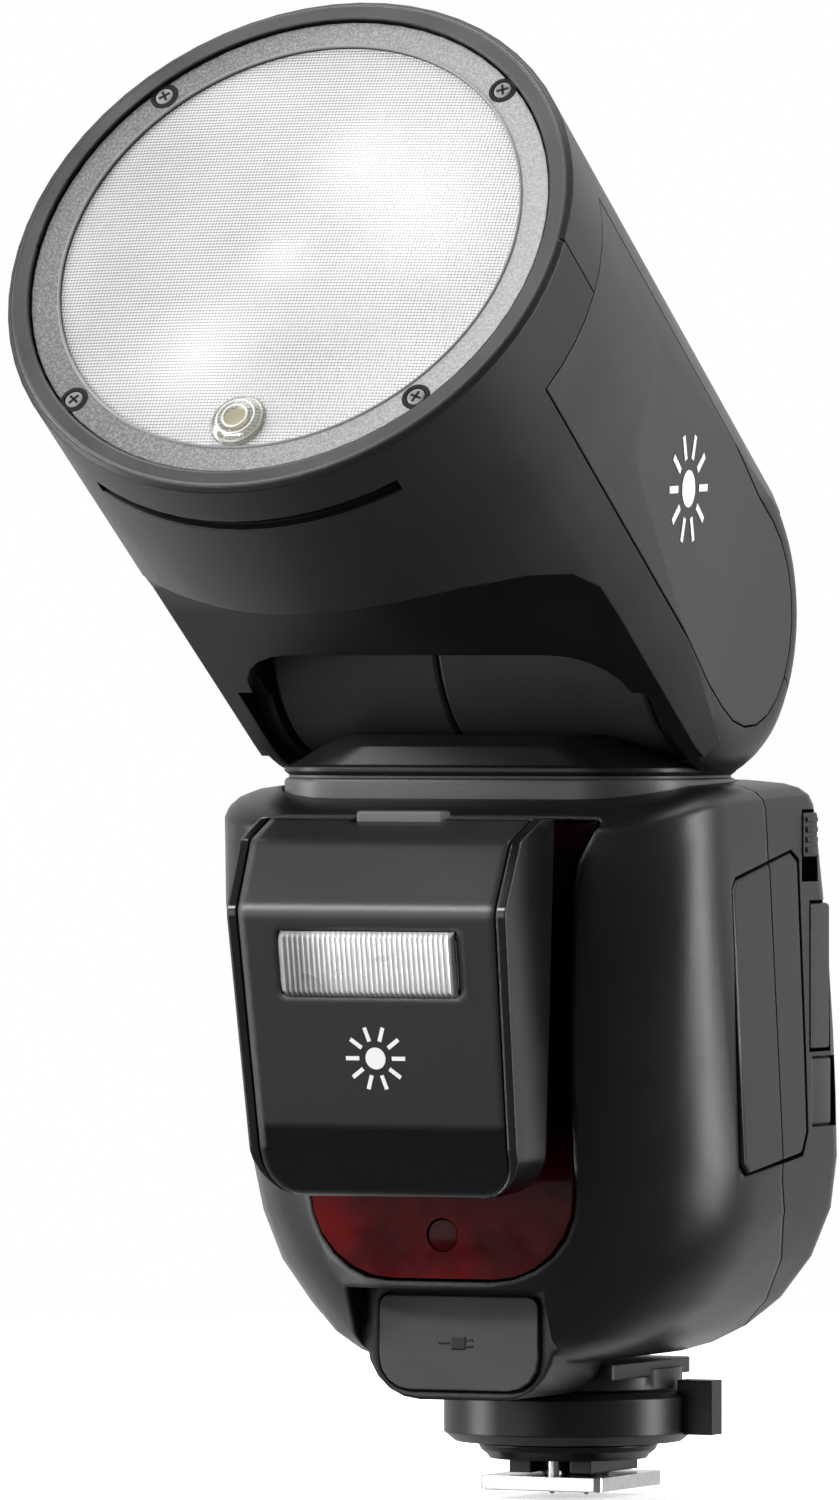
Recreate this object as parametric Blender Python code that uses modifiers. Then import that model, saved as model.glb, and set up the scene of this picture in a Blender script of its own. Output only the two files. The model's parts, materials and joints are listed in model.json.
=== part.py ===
"""Speedlight flash with a round head, built as an assembly of its separate pieces.

Metres, +Z up.  The origin is the centre of the hot-shoe foot's underside, the lamp faces -Y and the
battery slides out on the +X side.  The head is set at its usual bounce angle, HEAD_PITCH.
"""

import math

import bmesh
import bpy
from mathutils import Matrix, Vector

MM = 0.001
GAP = 0.35 * MM

# Hot-shoe foot and its lock
FOOT_WIDTH = 18.5 * MM
FOOT_LENGTH = 22.0 * MM
FOOT_THICK = 2.0 * MM
PEDESTAL_TOP = 6.2 * MM
COLLAR_RADIUS = 17.4 * MM
COLLAR_Y = -0.9 * MM
COLLAR_LOW = 6.6 * MM
COLLAR_HIGH = 13.7 * MM
BASE_PLATE_LOW = 14.1 * MM
BASE_PLATE_HIGH = 18.1 * MM
BASE_HALF = 14.5 * MM

# Body
BODY_HALF = 37.0 * MM
BODY_BOTTOM = 18.5 * MM
BODY_TOP = 98.9 * MM
BODY_WALL = 2.0 * MM
BOTTOM_ROUND = 28.0 * MM
FRONT_CORNER = 16.0 * MM
FRONT_CORNER_GROWTH = 0.28
REAR_CORNER = 7.0 * MM
FRONT_Y = -46.9 * MM
FRONT_Z = 82.0 * MM
FRONT_LEAN = 0.030
REAR_Y = 13.4 * MM
REAR_Z = 42.0 * MM
REAR_CURVE = 3.0
TOP_SAG = 4.5
TOP_CREST_Y = -17.0 * MM

# Neck
NECK_Y = -20.9 * MM
NECK_HALF_X = 30.0 * MM
NECK_HALF_Y = 19.0 * MM
NECK_CORNER = 12.0 * MM
NECK_FIXED_LOW = 95.3 * MM
NECK_FIXED_HIGH = 99.2 * MM
NECK_TURN_LOW = 99.6 * MM
NECK_TURN_HIGH = 101.0 * MM
SADDLE_TOP = 105.2 * MM
TILT_Z = 121.8 * MM
DRUM_RADIUS = 20.0 * MM
DRUM_HALF = 27.6 * MM
DRUM_SEAM = -2.6 * MM
AXLE_RADIUS = 4.0 * MM

# Head, in its own frame: -Y is where the lamp points, the origin is the tilt axis
HEAD_PITCH = math.radians(34.1)
HEAD_FACE = 88.0 * MM
HEAD_RADIUS = 40.3 * MM
HEAD_RADIUS_REAR = 39.8 * MM
HEAD_WALL = 4.0 * MM
SIDE_FLAT_X = 35.7 * MM
CHEEK_ROUND = 22.0 * MM
FORK_FRONT = 22.3 * MM
FORK_HALF = 28.4 * MM
RIM_INNER = 37.1 * MM
RING_OUTER = 36.8 * MM
RING_INNER = 33.0 * MM
RING_RECESS = 0.5 * MM
RING_THICK = 3.0 * MM
LENS_RADIUS = 32.7 * MM
SCREW_RADIUS = 35.4 * MM
PANEL_HALF = 15.4 * MM

# Sub-flash module on the front of the body
SUB_HALF = 20.7 * MM
SUB_TAPER = 0.025
SUB_RIDGE = (-69.0 * MM, 81.5 * MM)
SUB_TOP_EDGE = (-64.2 * MM, 91.0 * MM)
SUB_TOP_REAR = (-53.2 * MM, 94.0 * MM)
SUB_FRONT_LOW = (-63.3 * MM, 49.0 * MM)
SUB_BOTTOM = (-60.2 * MM, 42.2 * MM)
SUB_BOTTOM_REAR = (-53.4 * MM, 43.6 * MM)

# Battery pack
BATTERY_X = (-33.0 * MM, 37.1 * MM)
BATTERY_SIDE = (
    (-29.2, 84.0),
    (-28.0, 85.4),
    (-9.0, 89.0),
    (-6.2, 87.6),
    (-3.7, 62.0),
    (-2.8, 50.4),
    (-4.6, 47.2),
    (-23.1, 45.0),
    (-25.0, 46.4),
    (-27.4, 66.0),
)

# Rear controls: (x, z) on the back of the body
KEY_X = (-18.0 * MM, -6.0 * MM, 6.0 * MM, 18.0 * MM)
KEY_Z = 59.5 * MM
DIAL_Z = 44.0 * MM
DIAL_RADIUS = 10.5 * MM
SET_RADIUS = 4.6 * MM
ROUND_BUTTON_RADIUS = 3.0 * MM
LCD_HALF = 23.5 * MM
LCD_LOW = 65.0 * MM
LCD_HIGH = 89.0 * MM

ROUND_STEPS = 40


# ---------------------------------------------------------------- scene and materials

for old in list(bpy.data.objects):
    bpy.data.objects.remove(old, do_unlink=True)

PARTS = bpy.data.collections.new("speedlight_flash")
CUTTERS = bpy.data.collections.new("cutters")
bpy.context.scene.collection.children.link(PARTS)
bpy.context.scene.collection.children.link(CUTTERS)
CUTTERS.hide_render = True


def material(name, colour, roughness, metallic=0.0, alpha=1.0):
    made = bpy.data.materials.new(name)
    made.use_nodes = True
    shader = made.node_tree.nodes["Principled BSDF"]
    shader.inputs["Base Color"].default_value = (*colour, 1.0)
    shader.inputs["Roughness"].default_value = roughness
    shader.inputs["Metallic"].default_value = metallic
    shader.inputs["Alpha"].default_value = alpha
    return made


SHELL_BLACK = material("shell_black", (0.018, 0.018, 0.019), 0.45)
GLOSS_BLACK = material("gloss_black", (0.012, 0.012, 0.013), 0.18)
RING_BLACK = material("ring_black", (0.045, 0.045, 0.047), 0.60)
PANEL_GREY = material("panel_grey", (0.040, 0.040, 0.042), 0.50)
RUBBER_BLACK = material("rubber_black", (0.030, 0.030, 0.031), 0.75)
BUTTON_GREY = material("button_grey", (0.090, 0.090, 0.095), 0.50)
AF_RED = material("af_red", (0.060, 0.003, 0.005), 0.12)
CHROME = material("chrome", (0.80, 0.80, 0.81), 0.15, 1.0)
BRASS = material("contact_gold", (0.75, 0.58, 0.28), 0.25, 1.0)
STEEL = material("steel", (0.45, 0.45, 0.46), 0.35, 1.0)
SILVER = material("reflector_silver", (0.86, 0.86, 0.87), 0.10, 1.0)
LENS_CLEAR = material("lens_clear", (0.92, 0.93, 0.94), 0.15, 0.0, 0.35)
TUBE_GLASS = material("tube_glass", (0.90, 0.90, 0.86), 0.05, 0.0, 0.35)
LED_YELLOW = material("led_yellow", (0.75, 0.66, 0.22), 0.35)
LCD_GLASS = material("lcd_glass", (0.02, 0.022, 0.026), 0.08)
BOARD_GREEN = material("board_green", (0.02, 0.11, 0.05), 0.50)
CAPACITOR_BLUE = material("capacitor_sleeve", (0.03, 0.04, 0.09), 0.40)


# ---------------------------------------------------------------- modelling helpers

def adopt(name, mesh, look=None, parent=None, cutter=False):
    """Links a mesh as a part or as a cutter."""
    obj = bpy.data.objects.new(name, mesh)
    if cutter:
        CUTTERS.objects.link(obj)
        obj.hide_render = True
        obj.display_type = "WIRE"
    else:
        PARTS.objects.link(obj)
        mesh.materials.append(look)
    obj.parent = parent
    return obj


def mesh_of(build):
    """A mesh made by a function that fills a bmesh."""
    shape = bmesh.new()
    build(shape)
    bmesh.ops.recalc_face_normals(shape, faces=shape.faces)
    mesh = bpy.data.meshes.new("shape")
    shape.to_mesh(mesh)
    shape.free()
    return mesh


def box_mesh(low, high):
    """An axis-aligned box between two corners."""
    size = [h - l for l, h in zip(low, high)]
    middle = [(h + l) / 2 for l, h in zip(low, high)]

    def build(shape):
        bmesh.ops.create_cube(shape, size=1.0)
        bmesh.ops.scale(shape, vec=size, verts=shape.verts)
        bmesh.ops.translate(shape, vec=middle, verts=shape.verts)

    return mesh_of(build)


def cylinder_mesh(radius, start, end, axis="Z", top_radius=None, steps=ROUND_STEPS):
    """A cylinder or cone from start to end along an axis through the origin."""
    turn = {
        "Z": Matrix.Identity(3),
        "X": Matrix.Rotation(math.radians(90), 3, "Y"),
        "Y": Matrix.Rotation(math.radians(-90), 3, "X"),
    }[axis]

    def build(shape):
        bmesh.ops.create_cone(
            shape,
            cap_ends=True,
            segments=steps,
            radius1=radius,
            radius2=radius if top_radius is None else top_radius,
            depth=end - start,
        )
        bmesh.ops.translate(shape, vec=(0, 0, (start + end) / 2), verts=shape.verts)
        bmesh.ops.rotate(shape, cent=(0, 0, 0), matrix=turn, verts=shape.verts)

    return mesh_of(build)


def fillet(corners, steps=5):
    """An outline with each corner (u, v, radius) replaced by an arc."""
    points = []
    count = len(corners)
    for index, (u, v, radius) in enumerate(corners):
        here = Vector((u, v))
        before = (Vector(corners[index - 1][:2]) - here).normalized()
        after = (Vector(corners[(index + 1) % count][:2]) - here).normalized()
        half = before.angle(after) / 2
        if radius <= 0 or half > math.radians(89):
            points.append(here)
            continue
        reach = radius / math.tan(half)
        centre = here + (before + after).normalized() * (radius / math.sin(half))
        first = here + before * reach - centre
        sweep = first.angle_signed(here + after * reach - centre)
        for step in range(steps + 1):
            turned = first.copy()
            turned.rotate(Matrix.Rotation(-sweep * step / steps, 2))
            points.append(centre + turned)
    return points


def prism_mesh(outline, low, high, axis="Y"):
    """A flat outline made solid along an axis.  The outline is (x, z) on Y, (y, z) on X, (x, y) on Z."""
    curve = bpy.data.curves.new("outline", "CURVE")
    curve.dimensions = "2D"
    curve.fill_mode = "BOTH"
    curve.extrude = (high - low) / 2
    spline = curve.splines.new("POLY")
    spline.points.add(len(outline) - 1)
    for point, (u, v) in zip(spline.points, outline):
        point.co = (u, v, 0, 1)
    spline.use_cyclic_u = True
    holder = bpy.data.objects.new("outline", curve)
    bpy.context.scene.collection.objects.link(holder)
    graph = bpy.context.evaluated_depsgraph_get()
    mesh = bpy.data.meshes.new_from_object(holder.evaluated_get(graph))
    bpy.data.objects.remove(holder)
    middle = (low + high) / 2
    place = {
        "Z": Matrix(((1, 0, 0, 0), (0, 1, 0, 0), (0, 0, 1, middle), (0, 0, 0, 1))),
        "Y": Matrix(((1, 0, 0, 0), (0, 0, 1, middle), (0, 1, 0, 0), (0, 0, 0, 1))),
        "X": Matrix(((0, 0, 1, middle), (1, 0, 0, 0), (0, 1, 0, 0), (0, 0, 0, 1))),
    }[axis]
    shape = bmesh.new()
    shape.from_mesh(mesh)
    bmesh.ops.remove_doubles(shape, verts=shape.verts, dist=1e-6)
    bmesh.ops.transform(shape, matrix=place, verts=shape.verts)
    bmesh.ops.recalc_face_normals(shape, faces=shape.faces)
    shape.to_mesh(mesh)
    shape.free()
    mesh.materials.clear()
    return mesh


def turned(name, profile, look, parent=None, cutter=False, steps=ROUND_STEPS):
    """A turned solid about its own Z from a profile of (radius, height), top to bottom."""
    mesh = bpy.data.meshes.new(name)
    points = [(radius, 0.0, height) for radius, height in profile]
    mesh.from_pydata(points, [(i, i + 1) for i in range(len(points) - 1)], [])
    obj = adopt(name, mesh, look, parent, cutter)
    screw = obj.modifiers.new("turn", "SCREW")
    screw.steps = steps
    screw.render_steps = steps
    screw.use_merge_vertices = True
    screw.merge_threshold = 0.00001
    return obj


def loft_mesh(rings):
    """A skin through rings with the same number of points, closed at both ends."""

    def build(shape):
        made = [[shape.verts.new(point) for point in ring] for ring in rings]
        count = len(rings[0])
        for lower, upper in zip(made, made[1:]):
            for i in range(count):
                j = (i + 1) % count
                shape.faces.new((lower[i], lower[j], upper[j], upper[i]))
        shape.faces.new(list(reversed(made[0])))
        shape.faces.new(made[-1])

    return mesh_of(build)


def cut(obj, tool, operation="DIFFERENCE"):
    """A Boolean of obj with a cutter object."""
    modifier = obj.modifiers.new(tool.name, "BOOLEAN")
    modifier.operation = operation
    modifier.solver = "EXACT"
    modifier.object = tool


def cut_mesh(obj, name, mesh, operation="DIFFERENCE", parent=None):
    """A Boolean of obj with a fresh cutter made from a mesh."""
    tool = adopt(name, mesh, parent=parent, cutter=True)
    cut(obj, tool, operation)
    return tool


def soften(obj, width, segments=2, angle=35):
    """Rounded edges."""
    modifier = obj.modifiers.new("soften", "BEVEL")
    modifier.width = width
    modifier.segments = segments
    modifier.limit_method = "ANGLE"
    modifier.angle_limit = math.radians(angle)


def empty(name, location, rotation=(0, 0, 0), parent=None):
    made = bpy.data.objects.new(name, None)
    PARTS.objects.link(made)
    made.location = location
    made.rotation_euler = rotation
    made.parent = parent
    return made


# ---------------------------------------------------------------- body outline

def body_front(z):
    """Y of the body's front at a height."""
    return FRONT_Y + (FRONT_Z - z) * FRONT_LEAN


def body_back(z):
    """Y of the body's back at a height."""
    return REAR_Y - REAR_CURVE * (z - REAR_Z) ** 2


def back_slope(z):
    """Angle that the back leans at a height."""
    return math.atan(2 * REAR_CURVE * (z - REAR_Z))


def body_ring(z, half, front, back, inset, sag):
    """One section of the body: a rectangle with big front corners and small rear corners."""
    half = half - inset
    front = front + inset
    back = back - inset
    growth = FRONT_CORNER_GROWTH * min(max(FRONT_Z - z, 0.0), 41 * MM)
    big = min(FRONT_CORNER + growth - inset / 2, half - 1 * MM, (back - front) * 0.47)
    small = min(REAR_CORNER - inset / 2, half - 1 * MM, (back - front) * 0.4)
    corners = [(half, front, big), (half, back, small), (-half, back, small), (-half, front, big)]
    ring = []
    for x, y in fillet(corners, 7):
        drop = sag * TOP_SAG * min(y - TOP_CREST_Y, 0.0) ** 2
        ring.append((x, y, z - drop))
    return ring


def body_mesh(inset):
    """The body's outer form, or a smaller one inside it."""
    rings = []
    low_round = BOTTOM_ROUND - inset
    flat = BODY_HALF - BOTTOM_ROUND
    centre = BODY_BOTTOM + BOTTOM_ROUND
    toe = 7.0 * MM
    heel = 3.0 * MM
    for degrees in (4, 12, 21, 32, 45, 60, 75, 90):
        angle = math.radians(degrees)
        z = centre - low_round * math.cos(angle)
        half = flat + low_round * math.sin(angle) + inset
        depth = z - (BODY_BOTTOM + inset)
        tucks = [size - math.sqrt(size ** 2 - max(size - depth, 0.0) ** 2) for size in (toe, heel)]
        rings.append(body_ring(z, half, body_front(z) + tucks[0], body_back(z) - tucks[1], inset, 0))
    for z in (55 * MM, 64 * MM, 73 * MM, 82 * MM, 90 * MM):
        rings.append(body_ring(z, BODY_HALF, body_front(z), body_back(z), inset, 0))
    for z, shrink, sag in ((95.4, 0, 0.8), (96.8, 0.4, 1), (97.8, 1.5, 1), (98.4, 3.2, 1), (98.9, 7.5, 1)):
        level = z * MM - inset
        edge = inset + shrink * MM
        rings.append(body_ring(level, BODY_HALF, body_front(level), body_back(level), edge, sag))
    return loft_mesh(rings)


def seam_outline(shift, towards):
    """The parting face between the front and rear shells, seen from the side, closed on one side of it."""
    line = [(-18.4, 105), (-17.9, 97), (-11.9, 50), (-11.0, 44), (-8.4, 38.5), (-2.4, 31.5), (2.6, 26), (8.2, 20), (10.5, 10)]
    points = [(y * MM + shift, z * MM) for y, z in line]
    far = towards * 90 * MM
    return points + [(far, points[-1][1]), (far, points[0][1])]


# ---------------------------------------------------------------- body shells

def round_rect(half_u, half_v, radius, centre=(0.0, 0.0), steps=5):
    u, v = centre
    corners = [
        (u - half_u, v - half_v, radius),
        (u + half_u, v - half_v, radius),
        (u + half_u, v + half_v, radius),
        (u - half_u, v + half_v, radius),
    ]
    return fillet(corners, steps)


def neck_outline(grow):
    return round_rect(NECK_HALF_X + grow, NECK_HALF_Y + grow, NECK_CORNER + grow, (0.0, NECK_Y))


WINDOW_HALF = 19.6 * MM
WINDOW_LOW = 30.8 * MM
WINDOW_HIGH = 93.2 * MM
WINDOW_FLARE = 5.0 * MM


def window_outline(grow):
    """The AF window's outline from the front: straight sides and a deep round bottom."""
    half = WINDOW_HALF + grow
    wide = half + WINDOW_FLARE
    return fillet(
        [
            (-wide, WINDOW_HIGH + grow, 0.5 * MM),
            (wide, WINDOW_HIGH + grow, 0.5 * MM),
            (half + 1 * MM, WINDOW_HIGH - 5 * MM, 3 * MM),
            (half, WINDOW_HIGH - 12 * MM, 6 * MM),
            (half, WINDOW_LOW - grow, 12 * MM),
            (-half, WINDOW_LOW - grow, 12 * MM),
            (-half, WINDOW_HIGH - 12 * MM, 6 * MM),
            (-half - 1 * MM, WINDOW_HIGH - 5 * MM, 3 * MM),
        ],
        6,
    )


def bezel_outline(grow):
    half = 29.5 * MM + grow
    return fillet(
        [
            (-half, 92.0 * MM + grow, 5 * MM),
            (half, 92.0 * MM + grow, 5 * MM),
            (half, 31.5 * MM - grow, 17 * MM),
            (-half, 31.5 * MM - grow, 17 * MM),
        ],
        5,
    )


def battery_outline(grow):
    """The battery pack from the side, grown about its middle."""
    middle = Vector((-16.0 * MM, 67.0 * MM))
    points = []
    for y, z in BATTERY_SIDE:
        arm = Vector((y * MM, z * MM)) - middle
        points.append(middle + arm + Vector((math.copysign(grow, arm.x), math.copysign(grow, arm.y))))
    return points


HOUSING_LOW = (-14.5 * MM, -37.6 * MM, 13.6 * MM)
HOUSING_HIGH = (14.5 * MM, -19.2 * MM, 30.0 * MM)
CHIN_Z = 29.4 * MM


def housing_outline(grow=0.0):
    """The external power port's housing from the front."""
    half = HOUSING_HIGH[0] + grow
    return fillet(
        [
            (-half, 30.0 * MM, 0),
            (half, 30.0 * MM, 0),
            (half - 0.8 * MM, 13.9 * MM - grow, 8.0 * MM),
            (0.8 * MM - half, 13.9 * MM - grow, 8.0 * MM),
        ],
        5,
    )


def make_shells():
    battery_bay = adopt(
        "battery_bay",
        prism_mesh(battery_outline(GAP), BATTERY_X[0] - GAP, BODY_HALF + 5 * MM, "X"),
        cutter=True,
    )
    inner = adopt("body_inner", body_mesh(BODY_WALL), cutter=True)
    neck_pocket = adopt(
        "neck_pocket", prism_mesh(neck_outline(GAP), NECK_FIXED_LOW - GAP, 120 * MM, "Z"), cutter=True
    )
    front = adopt("front_shell", body_mesh(0.0), SHELL_BLACK)
    cut_mesh(
        front, "port_housing", prism_mesh(housing_outline(), HOUSING_LOW[1], -19.2 * MM, "Y"), "UNION"
    )
    cut(front, inner)
    # the body stops short above the port housing, and a ledge closes the shell there
    port_face = box_mesh((-14.7 * MM, -60 * MM, 12 * MM), (14.7 * MM, HOUSING_LOW[1] + 0.03 * MM, CHIN_Z))
    cut_mesh(front, "port_face", port_face)
    frame = prism_mesh(
        housing_outline(-0.06 * MM), HOUSING_LOW[1] + 0.01 * MM, HOUSING_LOW[1] + 3 * MM, "Y"
    )
    cut_mesh(front, "port_frame", frame, "UNION")
    ledge = [(0.0, -43.9 * MM), (9 * MM, -43.2 * MM), (13.9 * MM, -41.6 * MM), (13.9 * MM, -35.2 * MM)]
    ledge += [(-x, y) for x, y in reversed(ledge[1:])]
    cut_mesh(front, "port_ledge", prism_mesh(ledge, CHIN_Z + 0.03 * MM, CHIN_Z + 0.9 * MM, "Z"), "UNION")
    cut_mesh(front, "behind_seam", prism_mesh(seam_outline(-GAP / 2, 1), -90 * MM, 90 * MM, "X"))
    cut(front, neck_pocket)
    cut(front, battery_bay)
    hole = loft_mesh(
        [
            [(x, FRONT_Y - 1.5 * MM, z) for x, z in window_outline(2.6 * MM)],
            [(x, FRONT_Y + 1.5 * MM, z) for x, z in window_outline(GAP)],
            [(x, -38 * MM, z) for x, z in window_outline(GAP)],
        ]
    )
    cut_mesh(front, "window_hole", hole)
    cut_mesh(front, "flap_pocket", prism_mesh(flap_outline(GAP), -45 * MM, -35.7 * MM, "Y"))
    cut_mesh(front, "socket_bay", box_mesh((-9 * MM, -36 * MM, 17 * MM), (9 * MM, -24 * MM, 26.5 * MM)))
    rear = adopt("rear_shell", body_mesh(0.0), SHELL_BLACK)
    cut(rear, inner)
    cut_mesh(rear, "before_seam", prism_mesh(seam_outline(GAP / 2, -1), -90 * MM, 90 * MM, "X"))
    cut(rear, neck_pocket)
    cut(rear, battery_bay)
    cut_mesh(rear, "bezel_hole", prism_mesh(bezel_outline(GAP), 0.0, 40 * MM, "Y"))
    cut_mesh(rear, "latch_bay", box_mesh((33 * MM, -4.9 * MM, 84.8 * MM), (50 * MM, 0.9 * MM, 94.8 * MM)))
    cut_mesh(rear, "side_port_bay", box_mesh((33.5 * MM, -2.2 * MM, 61.2 * MM), (50 * MM, 5.4 * MM, 82.2 * MM)))
    cut_mesh(rear, "finger_notch", box_mesh((35.8 * MM, -1.2 * MM, 50.8 * MM), (50 * MM, 8.0 * MM, 60.6 * MM)))
    return front, rear


def flap_outline(grow=0.0):
    half = 11.9 * MM + grow
    return fillet(
        [
            (-half, 28.2 * MM + grow, 1.5 * MM),
            (half, 28.2 * MM + grow, 1.5 * MM),
            (half, 15.3 * MM - grow, 4.5 * MM),
            (-half, 15.3 * MM - grow, 4.5 * MM),
        ],
        4,
    )


def slice_of_body(name, outline, outer, inner, look, low=0.0, high=40 * MM):
    """A plate that follows the body's skin: outer and inner are how far below it the faces lie."""
    plate = adopt(name, body_mesh(outer), look)
    cut_mesh(plate, name + "_inside", body_mesh(inner))
    cut_mesh(plate, name + "_outline", prism_mesh(outline, low, high, "Y"), "INTERSECT")
    return plate


make_shells()

# AF window, its sensor lens and the contact dock for the sub-flash
window_tilt = math.atan(FRONT_LEAN)
DOCK_HALF = 15.0 * MM
DOCK_LOW = 52.0 * MM
DOCK_HIGH = 86.0 * MM
window = adopt(
    "af_window", prism_mesh(window_outline(0.0), -1.2 * MM, 1.2 * MM, "Y"), AF_RED
)
for vertex in window.data.vertices:
    low = 1 - min(max((vertex.co.z - WINDOW_LOW) / (50 * MM), 0.0), 1.0)
    vertex.co.y += body_front(vertex.co.z) + 2.0 * MM + 1.2 * MM * low
soften(window, 0.4 * MM, 1)
cut_mesh(
    window,
    "dock_hole",
    box_mesh((-DOCK_HALF - GAP, -60 * MM, DOCK_LOW - GAP), (DOCK_HALF + GAP, -30 * MM, DOCK_HIGH + GAP)),
)
SENSOR_Z = 36.8 * MM
SENSOR_RADIUS = 2.0 * MM
cut_mesh(
    window, "sensor_hole", cylinder_mesh(SENSOR_RADIUS + GAP, -60 * MM, -30 * MM, "Y", steps=20)
).location.z = SENSOR_Z
sensor = adopt(
    "af_sensor_lens",
    cylinder_mesh(SENSOR_RADIUS, -1.3 * MM, 1.2 * MM, "Y", steps=20),
    AF_RED,
)
sensor.location = (0, body_front(SENSOR_Z) + 2.0 * MM, SENSOR_Z)
dock = adopt(
    "sub_flash_dock",
    box_mesh((-DOCK_HALF, -55.2 * MM, DOCK_LOW), (DOCK_HALF, -42.0 * MM, DOCK_HIGH)),
    GLOSS_BLACK,
)
soften(dock, 0.6 * MM, 2)

# External power port
socket = adopt(
    "power_socket", box_mesh((-8 * MM, -33.5 * MM, 17.8 * MM), (8 * MM, -24.6 * MM, 25.8 * MM)), GLOSS_BLACK
)
cut_mesh(socket, "socket_mouth", box_mesh((-6.5 * MM, -40 * MM, 19.2 * MM), (6.5 * MM, -27 * MM, 24.4 * MM)))
flap = adopt("power_port_flap", prism_mesh(flap_outline(), -38.3 * MM, -36.3 * MM, "Y"), RUBBER_BLACK)
soften(flap, 0.5 * MM, 2)

# Fixed plate of the neck: a rounded plate with a bearing boss hanging into the body
neck_plate = adopt(
    "neck_base_plate", prism_mesh(neck_outline(0.0), NECK_FIXED_LOW, NECK_FIXED_HIGH, "Z"), PANEL_GREY
)
soften(neck_plate, 0.8 * MM, 2)
cut_mesh(
    neck_plate, "bearing_boss", cylinder_mesh(12 * MM, 90.0 * MM, 97.0 * MM), "UNION"
).location.y = NECK_Y
cut_mesh(
    neck_plate, "bearing_hole", cylinder_mesh(8.4 * MM, 80 * MM, 110 * MM)
).location.y = NECK_Y

# Board and capacitor inside the body
board = adopt("main_board", box_mesh((-28 * MM, -0.6 * MM, -24 * MM), (28 * MM, 0.6 * MM, 24 * MM)), BOARD_GREEN)
board.location = (0, 4.9 * MM, 62 * MM)
board.rotation_euler = (math.radians(7.2), 0, 0)
capacitor = adopt("main_capacitor", cylinder_mesh(9.0 * MM, -16 * MM, 16 * MM, "X", steps=28), CAPACITOR_BLUE)
capacitor.location = (0, -16 * MM, 34.5 * MM)
soften(capacitor, 0.8 * MM, 1)

# Battery pack: a block whose end face carries on the side of the body
battery = adopt("battery_pack", prism_mesh(battery_outline(0.0), *BATTERY_X, "X"), SHELL_BLACK)
soften(battery, 0.7 * MM, 2, 50)
seam = ((-17.4, 93.0), (-17.0, 93.0), (-11.0, 43.0), (-11.4, 43.0))
cut_mesh(
    battery, "seam_groove", prism_mesh([(y * MM, z * MM) for y, z in seam], BATTERY_X[1] - 0.5 * MM, 45 * MM, "X")
)


# ---------------------------------------------------------------- rear panel and its controls

bezel = slice_of_body("rear_bezel", bezel_outline(0.0), -0.4 * MM, 1.8 * MM, PANEL_GREY)
lcd_outline = round_rect(LCD_HALF, (LCD_HIGH - LCD_LOW) / 2, 1.5 * MM, (0.0, (LCD_HIGH + LCD_LOW) / 2))
lcd_hole = round_rect(
    LCD_HALF + GAP, (LCD_HIGH - LCD_LOW) / 2 + GAP, 1.8 * MM, (0.0, (LCD_HIGH + LCD_LOW) / 2)
)
cut_mesh(bezel, "lcd_hole", prism_mesh(lcd_hole, 0.0, 40 * MM, "Y"))
slice_of_body("lcd_window", lcd_outline, -0.2 * MM, 1.4 * MM, LCD_GLASS)


def rear_button(name, x, z, mesh, hole_mesh, look):
    """A button on the back of the body: its own Y is its travel, and the bezel gets its hole."""
    place = (x, body_back(z), z)
    lean = (back_slope(z), 0, 0)
    button = adopt(name, mesh, look)
    button.location = place
    button.rotation_euler = lean
    soften(button, 0.35 * MM, 1)
    hole = cut_mesh(bezel, name + "_hole", hole_mesh)
    hole.location = place
    hole.rotation_euler = lean
    return button


KEY_HALF = (4.6 * MM, 2.1 * MM)
for index, key_x in enumerate(KEY_X):
    rear_button(
        f"soft_key_{index + 1}",
        key_x,
        KEY_Z,
        prism_mesh(round_rect(*KEY_HALF, 1.4 * MM, steps=3), -3.6 * MM, 1.2 * MM, "Y"),
        prism_mesh(round_rect(KEY_HALF[0] + GAP, KEY_HALF[1] + GAP, 1.6 * MM, steps=3), -9 * MM, 9 * MM, "Y"),
        BUTTON_GREY,
    )
for name, button_x, button_z in (
    ("mode_button", -21.5 * MM, 50.0 * MM),
    ("menu_button", 21.5 * MM, 50.0 * MM),
    ("test_button", -20.0 * MM, 40.5 * MM),
):
    rear_button(
        name,
        button_x,
        button_z,
        cylinder_mesh(ROUND_BUTTON_RADIUS, -3.6 * MM, 1.2 * MM, "Y", steps=20),
        cylinder_mesh(ROUND_BUTTON_RADIUS + GAP, -9 * MM, 9 * MM, "Y", steps=20),
        BUTTON_GREY,
    )
rear_button(
    "power_switch",
    20.0 * MM,
    40.5 * MM,
    prism_mesh(round_rect(2.4 * MM, 1.9 * MM, 0.8 * MM, (-1.8 * MM, 0.0), 3), -2.6 * MM, 1.6 * MM, "Y"),
    prism_mesh(round_rect(4.7 * MM, 2.3 * MM, 1.0 * MM, steps=3), -9 * MM, 9 * MM, "Y"),
    BUTTON_GREY,
)
dial = rear_button(
    "control_dial",
    0.0,
    DIAL_Z,
    cylinder_mesh(DIAL_RADIUS, -3.0 * MM, 2.6 * MM, "Y"),
    cylinder_mesh(DIAL_RADIUS + GAP, -9 * MM, 9 * MM, "Y"),
    RING_BLACK,
)
set_hole = cut_mesh(dial, "dial_hole", cylinder_mesh(SET_RADIUS + GAP, -9 * MM, 9 * MM, "Y", steps=28))
set_hole.location = dial.location
set_hole.rotation_euler = dial.rotation_euler
set_button = adopt(
    "set_button", cylinder_mesh(SET_RADIUS, -3.6 * MM, 2.9 * MM, "Y", steps=28), BUTTON_GREY
)
set_button.location = dial.location
set_button.rotation_euler = dial.rotation_euler
soften(set_button, 0.4 * MM, 2)

# ---------------------------------------------------------------- right-hand side: latch and port cover

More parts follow.
